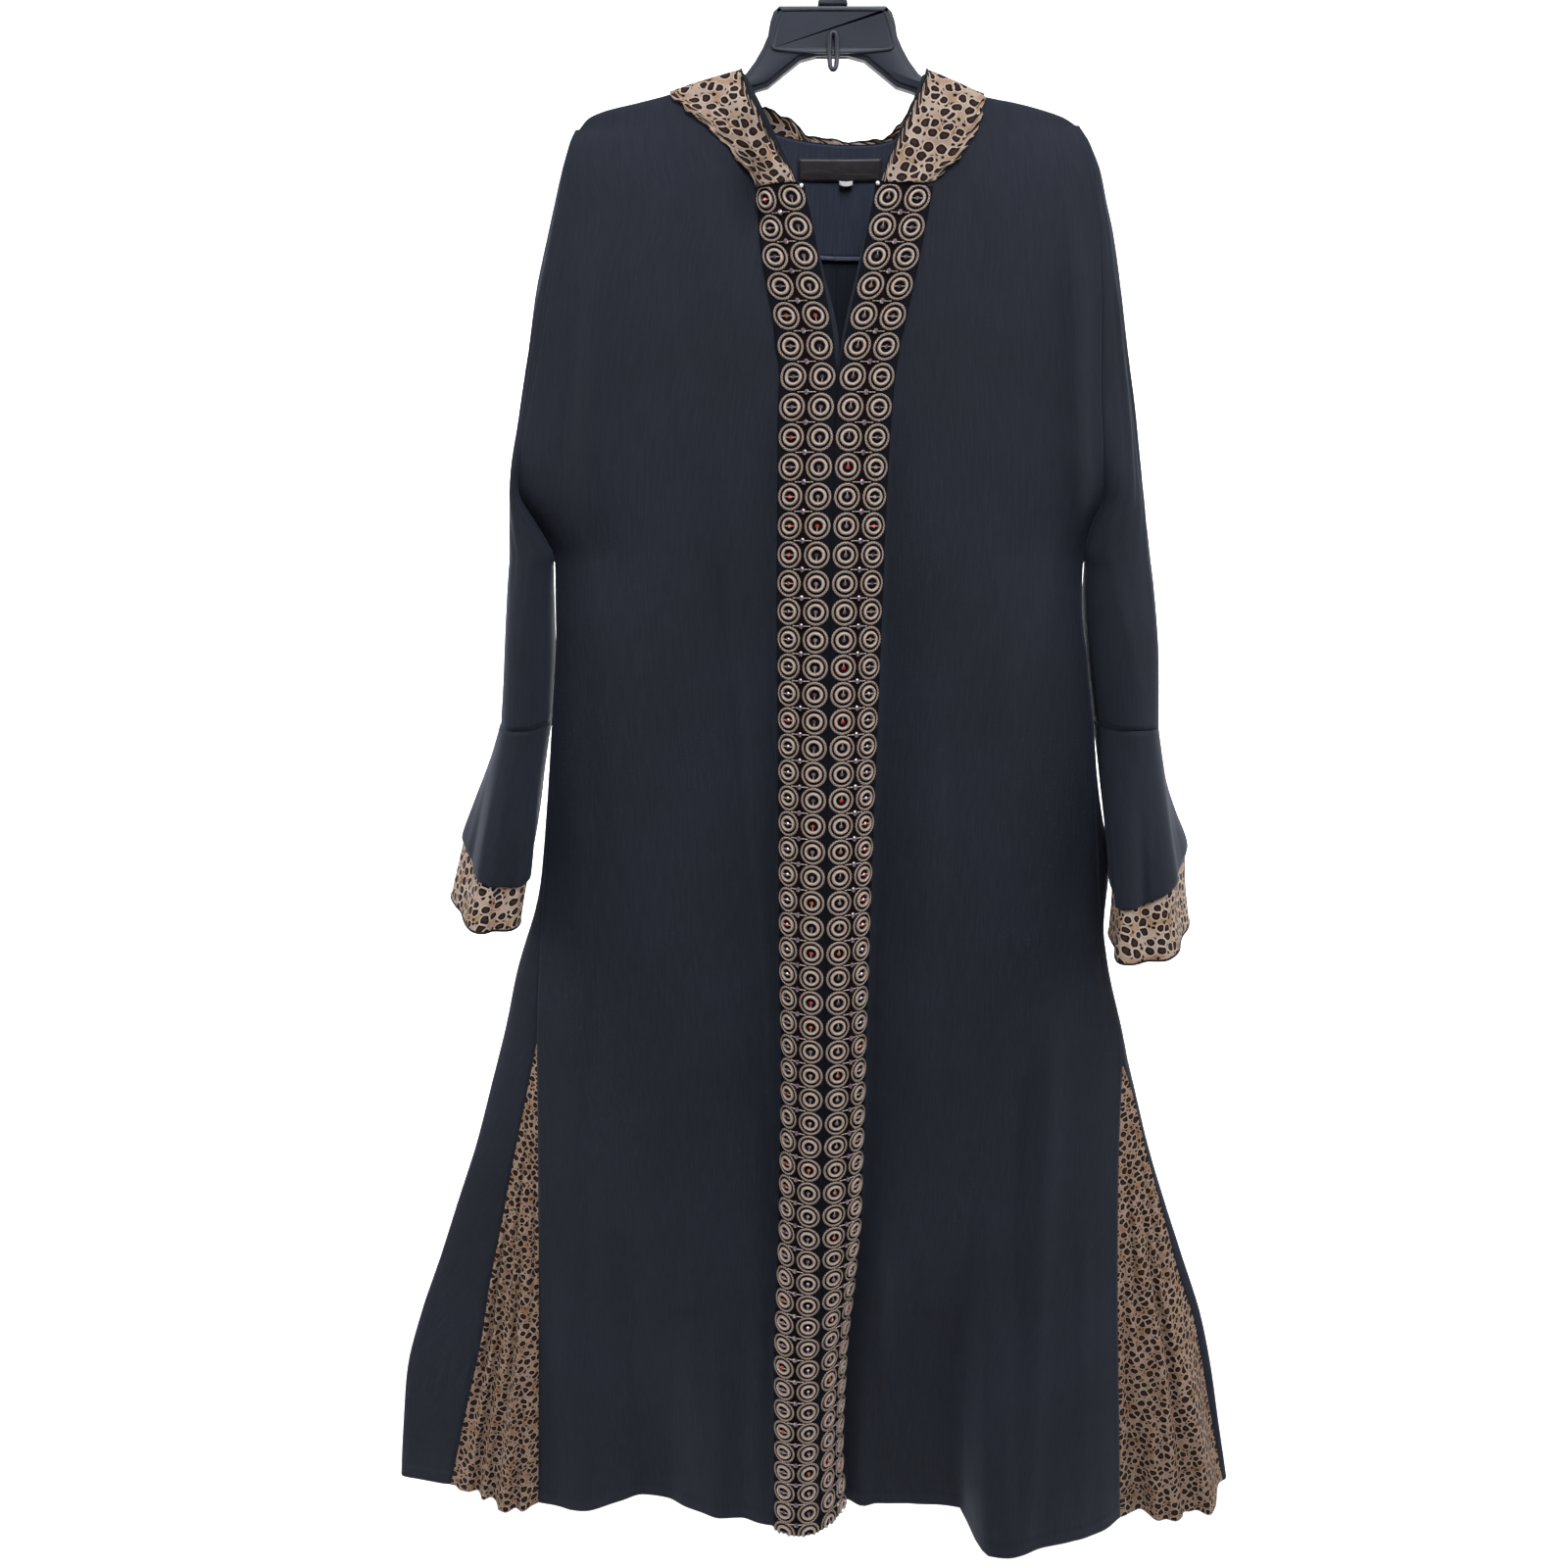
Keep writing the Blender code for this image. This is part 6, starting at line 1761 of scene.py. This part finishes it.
class ABAYA_OT_neck(bpy.types.Operator):
    """Sew the facing, the bare label, the tab and the beads inside the neck"""
    bl_idname = "abaya.neck"
    bl_label = "Finish the neck"

    def execute(self, context):
        # The facing is the body's crepe painted lighter: painted light standing in for light reaching
        # inside the neck.
        crepe = woven_crepe("woven_crepe_facing", linear("#343947"), linear("#2d323f"))
        overlock = plain_thread("overlock_thread_grey", "#6c7083")
        shares = np.linspace(0.0, 0.155, 20)
        rows = np.concatenate([np.linspace(0.004, 0.03, 6), np.linspace(0.03, 0.262, 20)[1:]])
        halves = []
        for side in (LEFT, RIGHT):
            full = body_grid(side, back_point, shares, BACK_TOP[side])
            top_z = full[0, :, 2]
            z = blend(top_z[None], UNDERARM_Z, rows[:, None])
            x, y = back_point(side, np.broadcast_to(shares, z.shape), z)
            halves.append(np.stack([x, y - FACING_OFFSET, z], -1))
        grid = np.concatenate([halves[0][:, :0:-1], halves[1]], 1)
        piece = cloth_piece("back_neck_facing_piece", grid, 0.7, crepe, (0, -1, 0))
        edge = tube("back_neck_facing_overlock", grid[-1] - np.array([0.0, 0.6, 0.0]), 2.1,
                    overlock, sides=8, flatten=0.5)
        declare(piece, grid, nodes=["back_neck_facing"])
        for name, place, node_name, slot, material in (
            ("neck_label_ribbon", LABEL, "neck_label", "label_satin",
             woven_tape("woven_satin_brown", "#2b2629", 0.1)),
            ("size_tab_tape", SIZE_TAB, "size_tab", "tab_tape",
             woven_tape("woven_tape_white", "#b7b5b1", 0.05)),
        ):
            x = np.linspace(place["left"], place["right"], 25)[None]
            z = np.linspace(place["top"], place["bottom"], 9)[:, None]
            x, z = np.broadcast_arrays(x, z)
            y = back_y(x, z) - LABEL_OFFSET
            down = (place["top"] - z) / (place["top"] - place["bottom"])
            if name.startswith("size"):
                y = y + 0.7 - 4.2 * down ** 2
                z = z + 1.6 * down * ((x - 14.0) / 6.0) ** 2
            else:
                y = y - 0.5 * np.sin(np.pi * down) - 0.3 * np.sin(x / 9.0) * down
            grid = np.stack([x, y, z], -1)
            piece = cloth_piece(name, grid, 0.5, material, (0, -1, 0))
            declare(piece, grid, nodes=[node_name])
        pearl = pearl_bead()
        for side, (x, z) in NECK_BEADS.items():
            y = float(find_y(front_column, 2.0, side, np.array([x]), np.array([z]))[0])
            bpy.ops.object.select_all(action="DESELECT")
            bpy.ops.mesh.primitive_uv_sphere_add(
                segments=16, ring_count=8, radius=BEAD_RADIUS * MM,
                location=(x * MM, (y - 4.6) * MM, z * MM))
            bead = context.object
            bead.name = "neck_bead_" + SIDE_NAME[side]
            bpy.ops.transform.resize(value=(1.0, 0.75, 1.0))
            bpy.ops.object.transform_apply(location=True, rotation=True, scale=True)
            bpy.ops.object.shade_smooth()
            finish_piece(bead, pearl)
        return {"FINISHED"}


class ABAYA_OT_hanger(bpy.types.Operator):
    """Mould the hanger's body, cap, small hook and boss"""
    bl_idname = "abaya.hanger"
    bl_label = "Mould the hanger"

    def execute(self, context):
        settings = context.scene.abaya_hanger
        plastic = moulded_polystyrene(settings)
        rim = (settings.rim_width / MM, settings.rim_height / MM)
        plate("hanger_body_moulding", hanger_outline(), -HANGER_THICK / 2, HANGER_THICK, plastic,
              1.2, recess=rim, node_name="hanger_body")
        cap_front = -HANGER_THICK / 2 - LAYER_GAP - CAP_THICK
        plate("hanger_cap_moulding", rounded(CAP_OUTLINE), cap_front, CAP_THICK + 0.3, plastic,
              0.4, recess=(2.0, 0.7), node_name="hanger_cap")
        hook_y = cap_front - 2.0
        loop = np.array([(x, 0.0, z) for x, z in rounded([(x, z) for x, _, z in SMALL_HOOK], 4)])
        depth = np.array(rounded([(y, z) for _, y, z in SMALL_HOOK], 4))[:, 0]
        loop[:, 1] = hook_y + depth
        tube("hanger_small_hook_loop", loop, 2.1, plastic, closed=True, sides=10)
        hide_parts("hanger_small_hook")
        plate("hanger_boss_moulding", BOSS_OUTLINE, -HANGER_THICK / 2, HANGER_THICK, plastic,
              1.3, node_name="hanger_boss")
        return {"FINISHED"}


class ABAYA_OT_hook(bpy.types.Operator):
    """Bend the steel hook"""
    bl_idname = "abaya.hook"
    bl_label = "Bend the hook"

    def execute(self, context):
        steel = bent_steel_wire(context.scene.abaya_hanger)
        turn = HOOK_INSIDE + HOOK_WIRE / 2
        over = [(turn * math.cos(a), -HOOK_INSIDE + turn * math.sin(a))
                for a in np.radians(np.linspace(-40, 195, 60))]
        line = np.array([(x, 0.0, z) for x, z in HOOK_STEM + over[1:]])
        hook = tube("hanger_hook_wire", line, HOOK_WIRE / 2, steel, sides=16)
        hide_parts("hanger_hook")
        return {"FINISHED"}


class ABAYA_PT_panel(bpy.types.Panel):
    """Steps that dress the abaya, in order, with their sizes and colours"""
    bl_idname = "ABAYA_PT_panel"
    bl_label = "Abaya"
    bl_space_type = "VIEW_3D"
    bl_region_type = "UI"
    bl_category = "Abaya"

    def draw(self, context):
        layout = self.layout
        for operator in OPERATORS:
            layout.operator(operator.bl_idname)
        for name, group in GROUPS.items():
            box = layout.box()
            for prop in group.__annotations__:
                box.prop(getattr(context.scene, name), prop)


OPERATORS = (
    ABAYA_OT_stage, ABAYA_OT_body, ABAYA_OT_sleeves, ABAYA_OT_cuffs, ABAYA_OT_godets,
    ABAYA_OT_trims, ABAYA_OT_collar, ABAYA_OT_neck, ABAYA_OT_hanger, ABAYA_OT_hook,
)
GROUPS = {
    "abaya_cloth": ClothSettings,
    "abaya_trim": TrimSettings,
    "abaya_hanger": HangerSettings,
    "abaya_stage": StageSettings,
}


def register():
    for group in GROUPS.values():
        bpy.utils.register_class(group)
    for name, group in GROUPS.items():
        setattr(bpy.types.Scene, name, PointerProperty(type=group))
    for operator in OPERATORS:
        bpy.utils.register_class(operator)
    bpy.utils.register_class(ABAYA_PT_panel)


def unregister():
    bpy.utils.unregister_class(ABAYA_PT_panel)
    for operator in reversed(OPERATORS):
        bpy.utils.unregister_class(operator)
    for name, group in GROUPS.items():
        delattr(bpy.types.Scene, name)
        bpy.utils.unregister_class(group)


def main():
    register()
    bpy.ops.abaya.stage()
    bpy.ops.abaya.body()
    bpy.ops.abaya.sleeves()
    bpy.ops.abaya.cuffs()
    bpy.ops.abaya.godets()
    bpy.ops.abaya.trims()
    bpy.ops.abaya.collar()
    bpy.ops.abaya.neck()
    bpy.ops.abaya.hanger()
    bpy.ops.abaya.hook()


if __name__ == "__main__":
    main()
